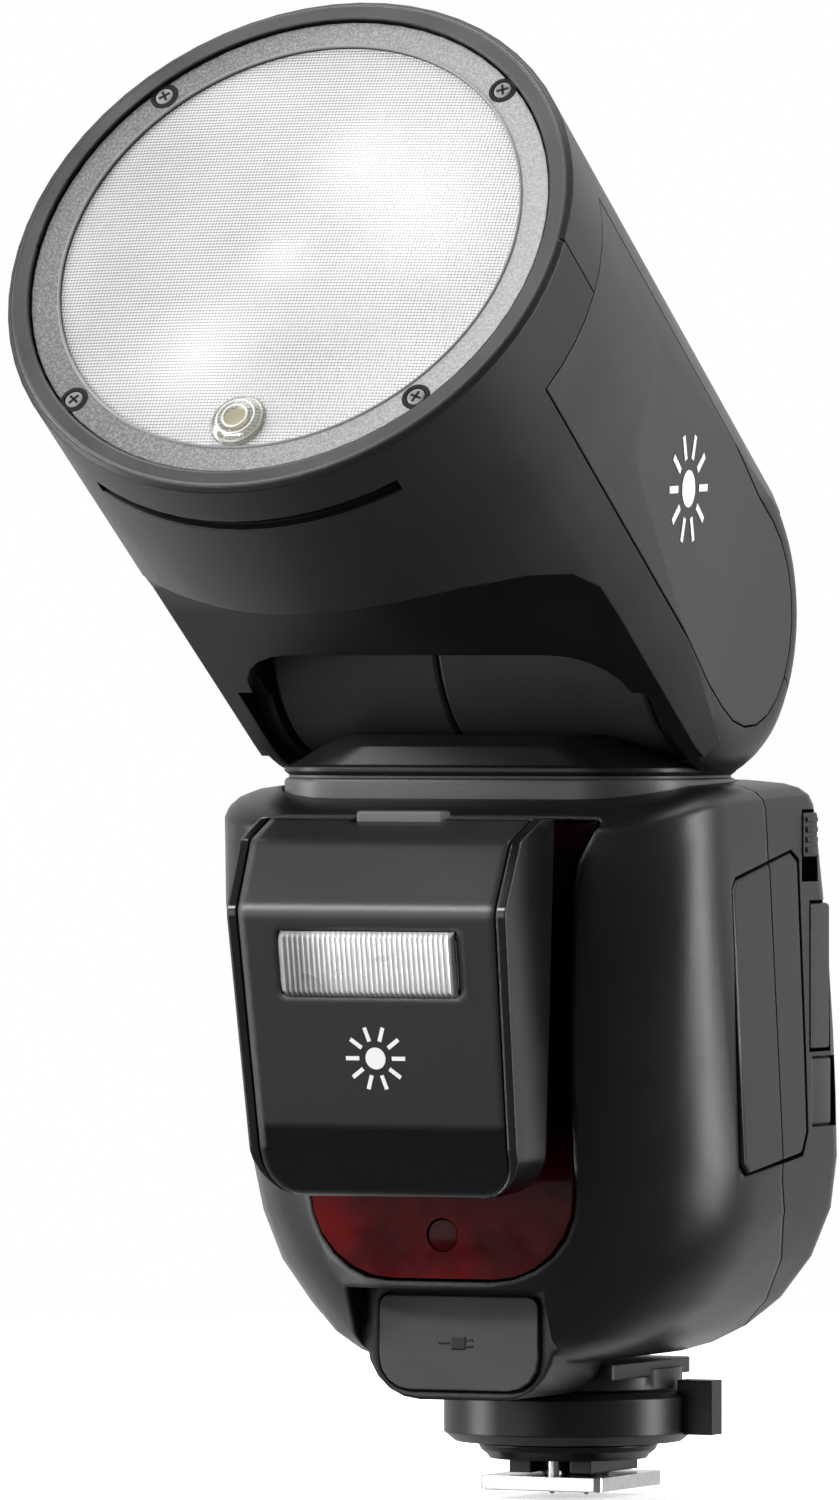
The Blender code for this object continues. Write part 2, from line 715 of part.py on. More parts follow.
latch = adopt(
    "battery_latch", box_mesh((33.6 * MM, -4.5 * MM, 88.2 * MM), (37.2 * MM, 0.5 * MM, 94.4 * MM)), BUTTON_GREY
)
soften(latch, 0.4 * MM, 2)
cover = adopt(
    "side_port_cover", box_mesh((35.4 * MM, -1.8 * MM, 61.6 * MM), (37.2 * MM, 5.0 * MM, 81.8 * MM)), RUBBER_BLACK
)
soften(cover, 0.6 * MM, 2)


# ---------------------------------------------------------------- sub-flash module

def sub_profile(inset):
    """The module's side outline (y, z), moved inwards by inset on its front and top."""
    corners = [
        (SUB_TOP_REAR[0], SUB_TOP_REAR[1] - inset, 0.8 * MM),
        (SUB_TOP_REAR[0] - 4 * MM, SUB_TOP_REAR[1] - inset, 3 * MM),
        (SUB_TOP_EDGE[0] + inset, SUB_TOP_EDGE[1] - inset * 0.6, 1.5 * MM),
        (SUB_RIDGE[0] + inset, SUB_RIDGE[1], 3 * MM),
        (SUB_FRONT_LOW[0] + inset, SUB_FRONT_LOW[1] + inset * 0.2, 3 * MM),
        (SUB_BOTTOM[0] + inset, SUB_BOTTOM[1] + inset, 2 * MM),
        (SUB_BOTTOM_REAR[0], SUB_BOTTOM_REAR[1] + inset, 1.5 * MM),
    ]
    return fillet(corners, 4)


def narrow_down(mesh):
    """Makes the module a little narrower towards its foot."""
    for vertex in mesh.vertices:
        vertex.co.x *= 1 - SUB_TAPER * (SUB_RIDGE[1] - vertex.co.z) / SUB_HALF
    return mesh


def module_foot(name, half, corner):
    """Keeps what lies inside the module's front view: straight sides, and a slightly bowed foot with round corners."""
    low = SUB_BOTTOM[1] + 0.5 * MM
    outline = fillet(
        [
            (-half - 1.9 * MM, 110 * MM, 0),
            (half + 1.9 * MM, 110 * MM, 0),
            (half, low, corner),
            (0.0, low - 0.6 * MM, 30 * MM),
            (-half, low, corner),
        ],
        6,
    )
    return adopt(name, prism_mesh(outline, -100 * MM, -30 * MM, "Y"), cutter=True)


sub_housing = adopt(
    "sub_flash_housing", narrow_down(prism_mesh(sub_profile(0.0), -SUB_HALF, SUB_HALF, "X")), GLOSS_BLACK
)
cut(sub_housing, module_foot("housing_foot", 19.8 * MM, 7.0 * MM), "INTERSECT")
soften(sub_housing, 1.0 * MM, 2, 50)
COVER_HALF = 19.0 * MM
COVER_THICK = 1.7 * MM
core = adopt("sub_core", prism_mesh(sub_profile(COVER_THICK + GAP), -SUB_HALF, SUB_HALF, "X"), cutter=True)
cover_space = adopt(
    "sub_cover_space",
    narrow_down(prism_mesh(sub_profile(-3 * MM), -COVER_HALF - GAP, COVER_HALF + GAP, "X")),
    cutter=True,
)
cut(cover_space, core)
cut(cover_space, module_foot("cover_space_foot", 18.4 * MM, 5.5 * MM), "INTERSECT")
keep_rear = box_mesh((-30 * MM, -57.0 * MM, 30 * MM), (30 * MM, -30 * MM, 110 * MM))
cut_mesh(cover_space, "cover_rear_limit", keep_rear)
cut(sub_housing, cover_space)
sub_cover = adopt(
    "sub_flash_cover", narrow_down(prism_mesh(sub_profile(0.0), -COVER_HALF, COVER_HALF, "X")), GLOSS_BLACK
)
cut(sub_cover, module_foot("cover_foot", 18.1 * MM, 5.2 * MM), "INTERSECT")
cut_mesh(sub_cover, "cover_inside", prism_mesh(sub_profile(COVER_THICK), -30 * MM, 30 * MM, "X"))
cut_mesh(sub_cover, "cover_rear", box_mesh((-30 * MM, -57.4 * MM, 30 * MM), (30 * MM, -30 * MM, 110 * MM)))

WINDOW_X = 13.0 * MM
SUB_WINDOW_Z = 74.5 * MM
SUB_WINDOW_HALF = 4.0 * MM
sub_bay = adopt(
    "sub_lamp_bay",
    box_mesh(
        (-WINDOW_X - GAP, -90 * MM, SUB_WINDOW_Z - SUB_WINDOW_HALF - GAP),
        (WINDOW_X + GAP, -57.6 * MM, SUB_WINDOW_Z + SUB_WINDOW_HALF + GAP),
    ),
    cutter=True,
)
cut(sub_cover, sub_bay)
cut(sub_housing, sub_bay)
lean = math.atan2(SUB_FRONT_LOW[0] - SUB_RIDGE[0], SUB_RIDGE[1] - SUB_FRONT_LOW[1])
window_y = SUB_RIDGE[0] + (SUB_RIDGE[1] - SUB_WINDOW_Z) * math.tan(lean)
sub_window = adopt(
    "sub_flash_window",
    prism_mesh(round_rect(WINDOW_X - 0.05 * MM, SUB_WINDOW_HALF - 0.1 * MM, 1.2 * MM), -0.1 * MM, 1.7 * MM, "Y"),
    LENS_CLEAR,
)
sub_window.location = (0, window_y, SUB_WINDOW_Z)
sub_window.rotation_euler = (-lean, 0, 0)
sub_reflector = adopt(
    "sub_flash_reflector",
    box_mesh((-12.6 * MM, -64.8 * MM, SUB_WINDOW_Z - 3.8 * MM), (12.6 * MM, -58.0 * MM, SUB_WINDOW_Z + 3.8 * MM)),
    SILVER,
)
trough = adopt("sub_trough", cylinder_mesh(3.4 * MM, -12.0 * MM, 12.0 * MM, "X", steps=24), cutter=True)
trough.location = (0, -62.0 * MM, SUB_WINDOW_Z)
cut(sub_reflector, trough)
cut_mesh(
    sub_reflector,
    "sub_trough_mouth",
    box_mesh((-12.0 * MM, -80 * MM, SUB_WINDOW_Z - 3.4 * MM), (12.0 * MM, -62.0 * MM, SUB_WINDOW_Z + 3.4 * MM)),
)
sub_tube = adopt("sub_flash_tube", cylinder_mesh(1.2 * MM, -11.0 * MM, 11.0 * MM, "X", steps=16), TUBE_GLASS)
sub_tube.location = (0, -61.6 * MM, SUB_WINDOW_Z)

cut_mesh(
    sub_housing,
    "dock_socket",
    box_mesh((-DOCK_HALF - 0.5 * MM, -55.6 * MM, DOCK_LOW - 0.5 * MM), (DOCK_HALF + 0.5 * MM, -40 * MM, DOCK_HIGH + 0.5 * MM)),
)
cut_mesh(
    sub_housing,
    "release_well",
    box_mesh((-7.0 * MM, -58.4 * MM, 88.4 * MM), (7.0 * MM, -54.4 * MM, 110 * MM)),
)
cut_mesh(
    sub_cover, "release_gap", box_mesh((-7.0 * MM, -58.4 * MM, 80.0 * MM), (7.0 * MM, -54.4 * MM, 110 * MM))
)
release = adopt(
    "sub_flash_release", box_mesh((-6.5 * MM, -57.9 * MM, 90.0 * MM), (6.5 * MM, -54.9 * MM, 95.0 * MM)), BUTTON_GREY
)
soften(release, 0.5 * MM, 2)

# ---------------------------------------------------------------- shoe, lock collar and contacts

shoe_base = adopt(
    "shoe_base_plate",
    prism_mesh(
        fillet(
            [
                (-BASE_HALF, -18.8 * MM, 1 * MM),
                (BASE_HALF, -18.8 * MM, 1 * MM),
                (BASE_HALF, 10.6 * MM, 3 * MM),
                (-BASE_HALF, 10.6 * MM, 3 * MM),
            ],
            4,
        ),
        16.0 * MM,
        BASE_PLATE_HIGH,
        "Z",
    ),
    SHELL_BLACK,
)
cut_mesh(shoe_base, "collar_seat", cylinder_mesh(15.6 * MM, BASE_PLATE_LOW, 17.0 * MM), "UNION")
cut_mesh(shoe_base, "pin_channel", box_mesh((-1.6 * MM, -7.1 * MM, 0), (1.6 * MM, -3.9 * MM, 17.2 * MM)))

STEM_RADIUS = 9.8 * MM
stem = turned(
    "shoe_stem",
    [
        (0.0, BASE_PLATE_LOW - GAP),
        (STEM_RADIUS, BASE_PLATE_LOW - GAP),
        (STEM_RADIUS, COLLAR_LOW - GAP),
        (12.6 * MM, COLLAR_LOW - GAP),
        (12.2 * MM, 5.4 * MM),
        (11.3 * MM, 4.7 * MM),
        (11.0 * MM, 4.2 * MM),
        (0.0, 4.2 * MM),
    ],
    SHELL_BLACK,
)
stem.location.y = COLLAR_Y
cut_mesh(stem, "stem_block", box_mesh((-6.2 * MM, -7.2 * MM, 2.3 * MM), (6.2 * MM, 9.0 * MM, 5.0 * MM)), "UNION")
CONTACT_PLUG = 4.6 * MM
plug_disc = cylinder_mesh(CONTACT_PLUG, 0.0, 3.0 * MM)
cut_mesh(stem, "contact_plug", plug_disc, "UNION").location.y = 1.6 * MM
cut_mesh(stem, "stem_pin_channel", box_mesh((-1.6 * MM, -7.1 * MM, 0), (1.6 * MM, -3.9 * MM, 14 * MM)))
cut_mesh(stem, "stem_front_gap", box_mesh((-3.0 * MM, -9.0 * MM, 1.0 * MM), (3.0 * MM, -3.6 * MM, 4.2 * MM)))

foot = adopt(
    "hot_shoe_foot",
    prism_mesh(round_rect(FOOT_WIDTH / 2, FOOT_LENGTH / 2, 1.2 * MM), 0.0, FOOT_THICK, "Z"),
    CHROME,
)
soften(foot, 0.25 * MM, 1)
cut_mesh(foot, "plug_hole", cylinder_mesh(CONTACT_PLUG + GAP, -5 * MM, 10 * MM)).location.y = 1.6 * MM
cut_mesh(foot, "lock_hole", cylinder_mesh(1.5 * MM, -5 * MM, 10 * MM, steps=20)).location.y = -5.5 * MM

lock_pin = adopt("lock_pin", cylinder_mesh(1.1 * MM, 0.8 * MM, 13.2 * MM, steps=16), STEEL)
lock_pin.location.y = -5.5 * MM

collar = turned(
    "locking_collar",
    [
        (STEM_RADIUS + GAP, COLLAR_HIGH),
        (COLLAR_RADIUS - 1.0 * MM, COLLAR_HIGH),
        (COLLAR_RADIUS, COLLAR_HIGH - 0.8 * MM),
        (COLLAR_RADIUS, COLLAR_LOW + 1.3 * MM),
        (COLLAR_RADIUS - 1.6 * MM, COLLAR_LOW),
        (STEM_RADIUS + GAP, COLLAR_LOW),
        (STEM_RADIUS + GAP, COLLAR_HIGH),
    ],
    SHELL_BLACK,
)
collar.location.y = COLLAR_Y
lever_tab = box_mesh((16.3 * MM, 0.6 * MM, 7.7 * MM), (21.5 * MM, 4.2 * MM, 15.3 * MM))
cut_mesh(collar, "lever", lever_tab, "UNION").location.y = COLLAR_Y

CONTACTS = {
    "contact_pin_center": (0.0, 3.4 * MM, 0.9 * MM),
    "contact_pin_1": (-2.9 * MM, 2.8 * MM, 0.55 * MM),
    "contact_pin_2": (2.9 * MM, 2.8 * MM, 0.55 * MM),
    "contact_pin_3": (-2.6 * MM, -0.6 * MM, 0.55 * MM),
    "contact_pin_4": (2.6 * MM, -0.6 * MM, 0.55 * MM),
}
for name, (pin_x, pin_y, pin_radius) in CONTACTS.items():
    well = cut_mesh(stem, name + "_well", cylinder_mesh(pin_radius + 0.2 * MM, -2 * MM, 3.6 * MM, steps=16))
    well.location = (pin_x, pin_y, 0)
    pin = turned(
        name,
        [(0.0, 2.6 * MM), (pin_radius, 2.6 * MM), (pin_radius, -0.5 * MM), (pin_radius * 0.5, -0.9 * MM), (0.0, -1.0 * MM)],
        BRASS,
        steps=14,
    )
    pin.location = (pin_x, pin_y, 0)

# ---------------------------------------------------------------- turning neck

neck_turn = empty("neck_turn", (0, NECK_Y, 0))


def at_neck(outline_half_x, outline_half_y, radius, z):
    return [(x, y, z) for x, y in round_rect(outline_half_x, outline_half_y, radius)]


swivel = adopt(
    "neck_swivel",
    loft_mesh(
        [
            at_neck(NECK_HALF_X - 0.5 * MM, NECK_HALF_Y - 0.5 * MM, NECK_CORNER, NECK_TURN_LOW),
            at_neck(NECK_HALF_X, NECK_HALF_Y, NECK_CORNER, NECK_TURN_LOW + 0.5 * MM),
            at_neck(NECK_HALF_X, NECK_HALF_Y, NECK_CORNER, NECK_TURN_HIGH - 0.3 * MM),
            at_neck(NECK_HALF_X - 1.0 * MM, NECK_HALF_Y - 0.6 * MM, NECK_CORNER, NECK_TURN_HIGH),
            at_neck(24.5 * MM, 17.6 * MM, 11 * MM, 103.6 * MM),
            at_neck(22.0 * MM, 16.2 * MM, 10 * MM, SADDLE_TOP - 0.4 * MM),
            at_neck(21.5 * MM, 15.6 * MM, 10 * MM, SADDLE_TOP),
        ]
    ),
    SHELL_BLACK,
    neck_turn,
)
cut_mesh(swivel, "swivel_pivot", cylinder_mesh(8.0 * MM, 91.0 * MM, 100.5 * MM), "UNION", neck_turn)
cradle = cylinder_mesh(DRUM_RADIUS + GAP, -40 * MM, 40 * MM, "X")
cut_mesh(swivel, "cradle", cradle, parent=neck_turn).location.z = TILT_Z

for name, start, end in (("neck_drum_left", -DRUM_HALF, DRUM_SEAM - GAP / 2), ("neck_drum_right", DRUM_SEAM + GAP / 2, DRUM_HALF)):
    drum = adopt(name, cylinder_mesh(DRUM_RADIUS, start, end, "X"), SHELL_BLACK, neck_turn)
    drum.location.z = TILT_Z
    soften(drum, 0.4 * MM, 1)
    bore = cut_mesh(drum, name + "_bore", cylinder_mesh(AXLE_RADIUS + GAP, -40 * MM, 40 * MM, "X", steps=28), parent=neck_turn)
    bore.location.z = TILT_Z
axle = adopt("tilt_axle", cylinder_mesh(AXLE_RADIUS, -32.0 * MM, 32.0 * MM, "X", steps=28), STEEL, neck_turn)
axle.location.z = TILT_Z

# ---------------------------------------------------------------- head

head_tilt = empty("head_tilt", (0, 0, TILT_Z), (-HEAD_PITCH, 0, 0), neck_turn)


def head_outline(inset):
    """The head from the side (y, z): a drum whose top slopes and whose underside is hollowed to the pivot."""
    round_end = CHEEK_ROUND - inset
    points = []
    for step in range(0, 15):
        angle = math.radians(-90 + step * 163 / 14)
        points.append((round_end * math.cos(angle), round_end * math.sin(angle)))
    points.append((-(HEAD_FACE - 33.0 * MM), HEAD_RADIUS - inset))
    points.append((-(HEAD_FACE - 20.0 * MM), HEAD_RADIUS + 5 * MM - inset))
    front = -HEAD_FACE - 8 * MM
    points.append((front, HEAD_RADIUS + 6 * MM))
    points.append((front, -HEAD_RADIUS - 6 * MM))
    under = [(28.9, -46.0), (29.4, -40.0), (30.6, -36.8), (32.6, -33.6), (37.3, -28.4), (43.0, -24.2), (49.0, -22.2), (56.0, -22.0)]
    for behind, height in under:
        points.append((behind * MM - HEAD_FACE - inset, height * MM + inset))
    return points


def head_drum(name, inset, look=None, cutter=True, front=-5 * MM):
    """The turned barrel of the head, smaller by inset."""
    drum = turned(
        name,
        [
            (0.0, 40 * MM),
            (HEAD_RADIUS_REAR - inset, 40 * MM),
            (HEAD_RADIUS_REAR - inset, -12 * MM),
            (HEAD_RADIUS - inset, -HEAD_FACE + front + 0.6 * MM),
            (HEAD_RADIUS - inset - 0.6 * MM, -HEAD_FACE + front),
            (0.0, -HEAD_FACE + front),
        ],
        look,
        head_tilt,
        cutter=cutter,
        steps=64,
    )
    drum.rotation_euler = (math.radians(-90), 0, 0)
    return drum


def side_limit(name, inset):
    """What the head's sides are cut to: they lean inwards to flats beside the pivot, with a soft edge round it."""
    flat = SIDE_FLAT_X - inset
    plan = [
        (flat - 0.7 * MM, 3 * MM),
        (flat + 1.3 * MM, -22 * MM),
        (flat + 3.2 * MM, -48 * MM),
        (flat + 6.0 * MM, -80 * MM),
        (flat + 7.0 * MM, -110 * MM),
    ]
    outline = plan + [(-x, y) for x, y in reversed(plan)]
    edge = [(16.5, 0.0), (18.3, 0.4), (19.8, 1.2), (21.0, 2.3), (22.0, 3.6), (23.0, 4.6), (25.0, 6.4)]
    half = [(radius * MM - inset, flat - back * MM) for radius, back in edge]
    profile = [(0.0, flat)] + half + [(radius, -x) for radius, x in reversed(half)] + [(0.0, -flat)]
    limit = turned(name, profile, None, head_tilt, cutter=True, steps=64)
    limit.rotation_euler = (0, math.radians(90), 0)
    tool = adopt(name + "_plan", prism_mesh(outline, -60 * MM, 60 * MM, "Z"), parent=head_tilt, cutter=True)
    cut(limit, tool, "UNION")
    return limit


LIMIT = side_limit("side_limit", 0.0)
LIMIT_POCKET = side_limit("side_limit_pocket", 2.0 * MM)
LIMIT_PANEL = side_limit("side_limit_panel", 1.7 * MM)
LIMIT_CAVITY = side_limit("side_limit_cavity", HEAD_WALL)

head_cavity = turned(
    "head_cavity",
    [
        (0.0, -26.5 * MM),
        (HEAD_RADIUS_REAR - HEAD_WALL, -26.5 * MM),
        (HEAD_RADIUS - HEAD_WALL, -HEAD_FACE + 6 * MM),
        (RIM_INNER, -HEAD_FACE + 6 * MM),
        (RIM_INNER, -HEAD_FACE - 4 * MM),
        (0.0, -HEAD_FACE - 4 * MM),
    ],
    None,
    head_tilt,
    cutter=True,
    steps=60,
)
head_cavity.rotation_euler = (math.radians(-90), 0, 0)
cut_mesh(
    head_cavity, "cavity_outline", prism_mesh(head_outline(HEAD_WALL), -50 * MM, 50 * MM, "X"), "INTERSECT", head_tilt
)
cut(head_cavity, LIMIT_CAVITY, "INTERSECT")


def fork_cutter(name, radius, low, high):
    outline = round_rect(FORK_HALF, 40 * MM, radius, (0, -FORK_FRONT + 40 * MM))
    return adopt(name, prism_mesh(outline, low, high, "Z"), parent=head_tilt, cutter=True)


fork_upper = fork_cutter("fork_gap_upper", 3.4 * MM, -15.5 * MM, 60 * MM)
fork_lower = fork_cutter("fork_gap_lower", 9.0 * MM, -60 * MM, -15.0 * MM)
relief_half = NECK_HALF_X + 0.6 * MM
plate_relief = adopt(
    "plate_relief", cylinder_mesh(60 * MM, -relief_half, relief_half, "X"), parent=head_tilt, cutter=True
)
cut_mesh(plate_relief, "plate_relief_core", cylinder_mesh(20.3 * MM, -70 * MM, 70 * MM, "X"), parent=head_tilt)
cut_mesh(
    plate_relief,
    "plate_relief_front",
    box_mesh((-70 * MM, -70 * MM, -70 * MM), (70 * MM, -13.2 * MM, 70 * MM)),
    parent=head_tilt,
)
cut_mesh(
    plate_relief,
    "plate_relief_cheek",
    box_mesh((-70 * MM, -72 * MM, -19.2 * MM), (70 * MM, -8.0 * MM, 72 * MM)),
    parent=head_tilt,
)
axle_bore = adopt(
    "axle_bore",
    cylinder_mesh(AXLE_RADIUS + GAP, -32.5 * MM, 32.5 * MM, "X", steps=28),
    parent=head_tilt,
    cutter=True,
)


def panel_outline(grow):
    """A side panel's outline (y, z): straight edges and a half-round rear end."""
    half = PANEL_HALF + grow
    points = [(-HEAD_FACE + 12.5 * MM - grow, -half)]
    for step in range(0, 13):
        angle = math.radians(-90 + step * 15)
        points.append((half * math.cos(angle), half * math.sin(angle)))
    points.append((-HEAD_FACE + 12.5 * MM - grow, half))
    return points


panel_pocket = adopt(
    "panel_pocket", prism_mesh(panel_outline(0.3 * MM), -60 * MM, 60 * MM, "X"), parent=head_tilt, cutter=True
)
pocket_core = head_drum("panel_pocket_core", 2.0 * MM)
cut(pocket_core, LIMIT_POCKET, "INTERSECT")
cut(panel_pocket, pocket_core)

for name, low, high in (("head_upper_shell", 0.12 * MM, 60 * MM), ("head_lower_shell", -60 * MM, -0.12 * MM)):
    shell = head_drum(name, 0.0, SHELL_BLACK, False, 0.0)
    outline = prism_mesh(head_outline(0.0), -50 * MM, 50 * MM, "X")
    cut_mesh(shell, name + "_outline", outline, "INTERSECT", head_tilt)
    cut(shell, LIMIT, "INTERSECT")
    cut(shell, head_cavity)
    cut(shell, fork_upper)
    cut(shell, fork_lower)
    cut(shell, plate_relief)
    cut(shell, axle_bore)
    cut(shell, panel_pocket)
    half_space = box_mesh((-60 * MM, -100 * MM, low), (60 * MM, 60 * MM, high))
    cut_mesh(shell, name + "_half", half_space, "INTERSECT", head_tilt)
    if name == "head_lower_shell":
        slot = adopt(
            "accessory_slot",
            cylinder_mesh(60 * MM, -HEAD_FACE + 7.2 * MM, -HEAD_FACE + 9.4 * MM, "Y", steps=64),
            parent=head_tilt,
            cutter=True,
        )
        floor_radius = HEAD_RADIUS - 1.3 * MM
        cut_mesh(slot, "slot_floor", cylinder_mesh(floor_radius, -100 * MM, 50 * MM, "Y", steps=64), parent=head_tilt)
        ends = box_mesh((-22 * MM, -100 * MM, -60 * MM), (22 * MM, 0, -20 * MM))
        cut_mesh(slot, "slot_ends", ends, "INTERSECT", head_tilt)
        cut(shell, slot)

panel_core = head_drum("panel_core", 1.7 * MM)
cut(panel_core, LIMIT_PANEL, "INTERSECT")
for name, side in (("side_panel_right", 1), ("side_panel_left", -1)):
    panel = head_drum(name, 0.0, PANEL_GREY, False)
    cut(panel, LIMIT, "INTERSECT")
    low, high = sorted((side * 20 * MM, side * 60 * MM))
    cut_mesh(panel, name + "_outline", prism_mesh(panel_outline(0.0), low, high, "X"), "INTERSECT", head_tilt)
    cut(panel, panel_core)


def face_turned(name, profile, look, steps=ROUND_STEPS):
    """A turned piece on the head's axis; heights are distances behind the face, deepest first."""
    obj = turned(name, [(radius, behind - HEAD_FACE) for radius, behind in profile], look, head_tilt, steps=steps)
    obj.rotation_euler = (math.radians(-90), 0, 0)
    return obj


ring = face_turned(
    "front_ring",
    [
        (RING_INNER, RING_RECESS + RING_THICK),
        (RING_OUTER, RING_RECESS + RING_THICK),
        (RING_OUTER, RING_RECESS),
        (RING_INNER, RING_RECESS),
        (RING_INNER, RING_RECESS + RING_THICK),
    ],
    RING_BLACK,
    64,
)
face_turned(
    "front_lens",
    [
        (0.0, 4.2 * MM),
        (LENS_RADIUS, 4.2 * MM),
        (LENS_RADIUS, 2.4 * MM),
        (LENS_RADIUS - 2 * MM, 1.9 * MM),
        (0.0, 1.6 * MM),
    ],
    LENS_CLEAR,
)
face_turned(
    "reflector_bowl",
    [
        (0.0, 38.5 * MM),
        (9.0 * MM, 38.0 * MM),
        (19.0 * MM, 32.0 * MM),
        (27.0 * MM, 20.0 * MM),
        (31.8 * MM, 4.8 * MM),
        (30.8 * MM, 4.8 * MM),
        (26.0 * MM, 19.6 * MM),
        (18.2 * MM, 31.2 * MM),
        (8.6 * MM, 37.0 * MM),
        (0.0, 37.5 * MM),
    ],
    SILVER,
)
tube = adopt("flash_tube", cylinder_mesh(2.4 * MM, -13 * MM, 13 * MM, "X", steps=20), TUBE_GLASS, head_tilt)
tube.location.y = -HEAD_FACE + 27 * MM
soften(tube, 0.8 * MM, 2)

LAMP_U = -28.6 * MM
LAMP_RADIUS = 3.6 * MM
for target in ("front_lens", "reflector_bowl"):
    lamp_hole = cut_mesh(
        bpy.data.objects[target],
        target + "_lamp_hole",
        cylinder_mesh(LAMP_RADIUS + GAP, -HEAD_FACE - 5 * MM, -HEAD_FACE + 14.5 * MM, "Y", steps=24),
        parent=head_tilt,
    )
    lamp_hole.location.z = LAMP_U
lamp = turned(
    "modelling_lamp_lens",
    [(0.0, 4.6 * MM), (LAMP_RADIUS, 4.6 * MM), (LAMP_RADIUS, 1.8 * MM), (LAMP_RADIUS * 0.7, 0.9 * MM), (0.0, 0.6 * MM)],
    LENS_CLEAR,
    head_tilt,
    steps=24,
)
lamp.location = (0, -HEAD_FACE, LAMP_U)
lamp.rotation_euler = (math.radians(-90), 0, 0)
led = adopt("modelling_led", box_mesh((-2.0 * MM, 5.0 * MM, -2.0 * MM), (2.0 * MM, 8.0 * MM, 2.0 * MM)), LED_YELLOW, head_tilt)
led.location = (0, -HEAD_FACE, LAMP_U)

for index in range(4):
    angle = math.radians(45 + 90 * index)
    place = (SCREW_RADIUS * math.cos(angle), 0, SCREW_RADIUS * math.sin(angle))
    hole = cut_mesh(
        ring, f"screw_hole_{index + 1}", cylinder_mesh(1.55 * MM, -HEAD_FACE - 5 * MM, -HEAD_FACE + 3.2 * MM, "Y", steps=20), parent=head_tilt
    )
    hole.location = place
    screw = adopt(
        f"ring_screw_{index + 1}", cylinder_mesh(1.25 * MM, -HEAD_FACE + 1.6 * MM, -HEAD_FACE + 3.0 * MM, "Y", steps=16), STEEL, head_tilt
    )
    screw.location = place
    for tilt in (0, 90):
        bar = cut_mesh(
            screw,
            f"screw_slot_{index + 1}_{tilt}",
            box_mesh((-0.95 * MM, -HEAD_FACE, -0.2 * MM), (0.95 * MM, -HEAD_FACE + 2.2 * MM, 0.2 * MM)),
            parent=head_tilt,
        )
        bar.location = place
        bar.rotation_euler = (0, math.radians(tilt + 20), 0)

for part in PARTS.objects:
    if part.type == "MESH":
        part.data.shade_smooth()
        part.data.set_sharp_from_angle(angle=math.radians(35))
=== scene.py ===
"""Speedlight flash with a round head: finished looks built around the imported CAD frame."""

import json
import math

import bmesh
import bpy
from mathutils import Matrix, Vector
from mathutils.bvhtree import BVHTree

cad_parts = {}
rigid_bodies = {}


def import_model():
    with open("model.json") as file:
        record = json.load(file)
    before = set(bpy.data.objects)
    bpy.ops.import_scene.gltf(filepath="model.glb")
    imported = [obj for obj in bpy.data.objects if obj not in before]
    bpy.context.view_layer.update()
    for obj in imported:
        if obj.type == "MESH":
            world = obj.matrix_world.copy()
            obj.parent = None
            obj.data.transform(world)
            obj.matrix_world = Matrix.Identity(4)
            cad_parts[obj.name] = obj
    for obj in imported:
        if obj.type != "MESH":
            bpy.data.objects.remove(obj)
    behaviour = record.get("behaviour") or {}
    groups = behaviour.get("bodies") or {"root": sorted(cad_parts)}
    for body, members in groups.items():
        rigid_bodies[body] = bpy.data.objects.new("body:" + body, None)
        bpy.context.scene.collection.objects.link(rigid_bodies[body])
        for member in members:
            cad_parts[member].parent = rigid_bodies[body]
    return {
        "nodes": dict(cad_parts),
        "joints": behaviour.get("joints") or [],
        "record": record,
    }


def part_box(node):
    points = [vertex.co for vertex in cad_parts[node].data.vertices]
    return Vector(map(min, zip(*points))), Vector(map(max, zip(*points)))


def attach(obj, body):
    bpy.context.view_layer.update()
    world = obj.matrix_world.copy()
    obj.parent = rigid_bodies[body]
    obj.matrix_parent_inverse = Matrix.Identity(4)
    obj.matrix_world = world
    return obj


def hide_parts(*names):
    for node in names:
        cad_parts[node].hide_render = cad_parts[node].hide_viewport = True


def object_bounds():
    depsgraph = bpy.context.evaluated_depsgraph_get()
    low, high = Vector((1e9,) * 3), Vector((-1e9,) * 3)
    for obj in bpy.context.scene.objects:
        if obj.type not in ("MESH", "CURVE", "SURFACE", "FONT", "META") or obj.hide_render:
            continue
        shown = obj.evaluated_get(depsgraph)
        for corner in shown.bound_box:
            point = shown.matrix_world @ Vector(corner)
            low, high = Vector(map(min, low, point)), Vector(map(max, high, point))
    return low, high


for startup_object in list(bpy.data.objects):
    bpy.data.objects.remove(startup_object)

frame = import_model()
cad_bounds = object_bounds()

MM = 0.001
REST_TILT = math.radians(34.1)  # how far the head is tipped back at rest
TIP = 0.02 * MM  # radius of the tiny face that closes the middle of a turned piece
WELD = 2e-6  # CAD points closer than this are one point
JOINT = {joint["name"]: joint for joint in frame["joints"]}
BODY_OF = {node: body for body, nodes in frame["record"]["behaviour"]["bodies"].items() for node in nodes}
SLOT_OF = {part["node"]: part["material_slot"] for part in frame["record"]["subparts"]}


# ---------------------------------------------------------------- places


def node_box(node, place):
    """Lowest and highest corner of a CAD node, measured in the axes of a placing matrix."""
    to_place = place.inverted()
    points = [to_place @ vertex.co for vertex in frame["nodes"][node].data.vertices]
    low = Vector([min(point[axis] for point in points) for axis in range(3)])
    high = Vector([max(point[axis] for point in points) for axis in range(3)])
    return low, high


def surface_of(node):
    """A CAD node's surface, for finding where a line meets it."""
    mesh = frame["nodes"][node].data
    return BVHTree.FromPolygons([v.co for v in mesh.vertices], [p.vertices[:] for p in mesh.polygons])


PIVOT = Vector(JOINT["head_tilt"]["pos_m"])
HEAD = Matrix.Translation(PIVOT) @ Matrix.Rotation(-REST_TILT, 4, "X")
HEAD_REACH = -node_box("head_lower_shell", HEAD)[0].y
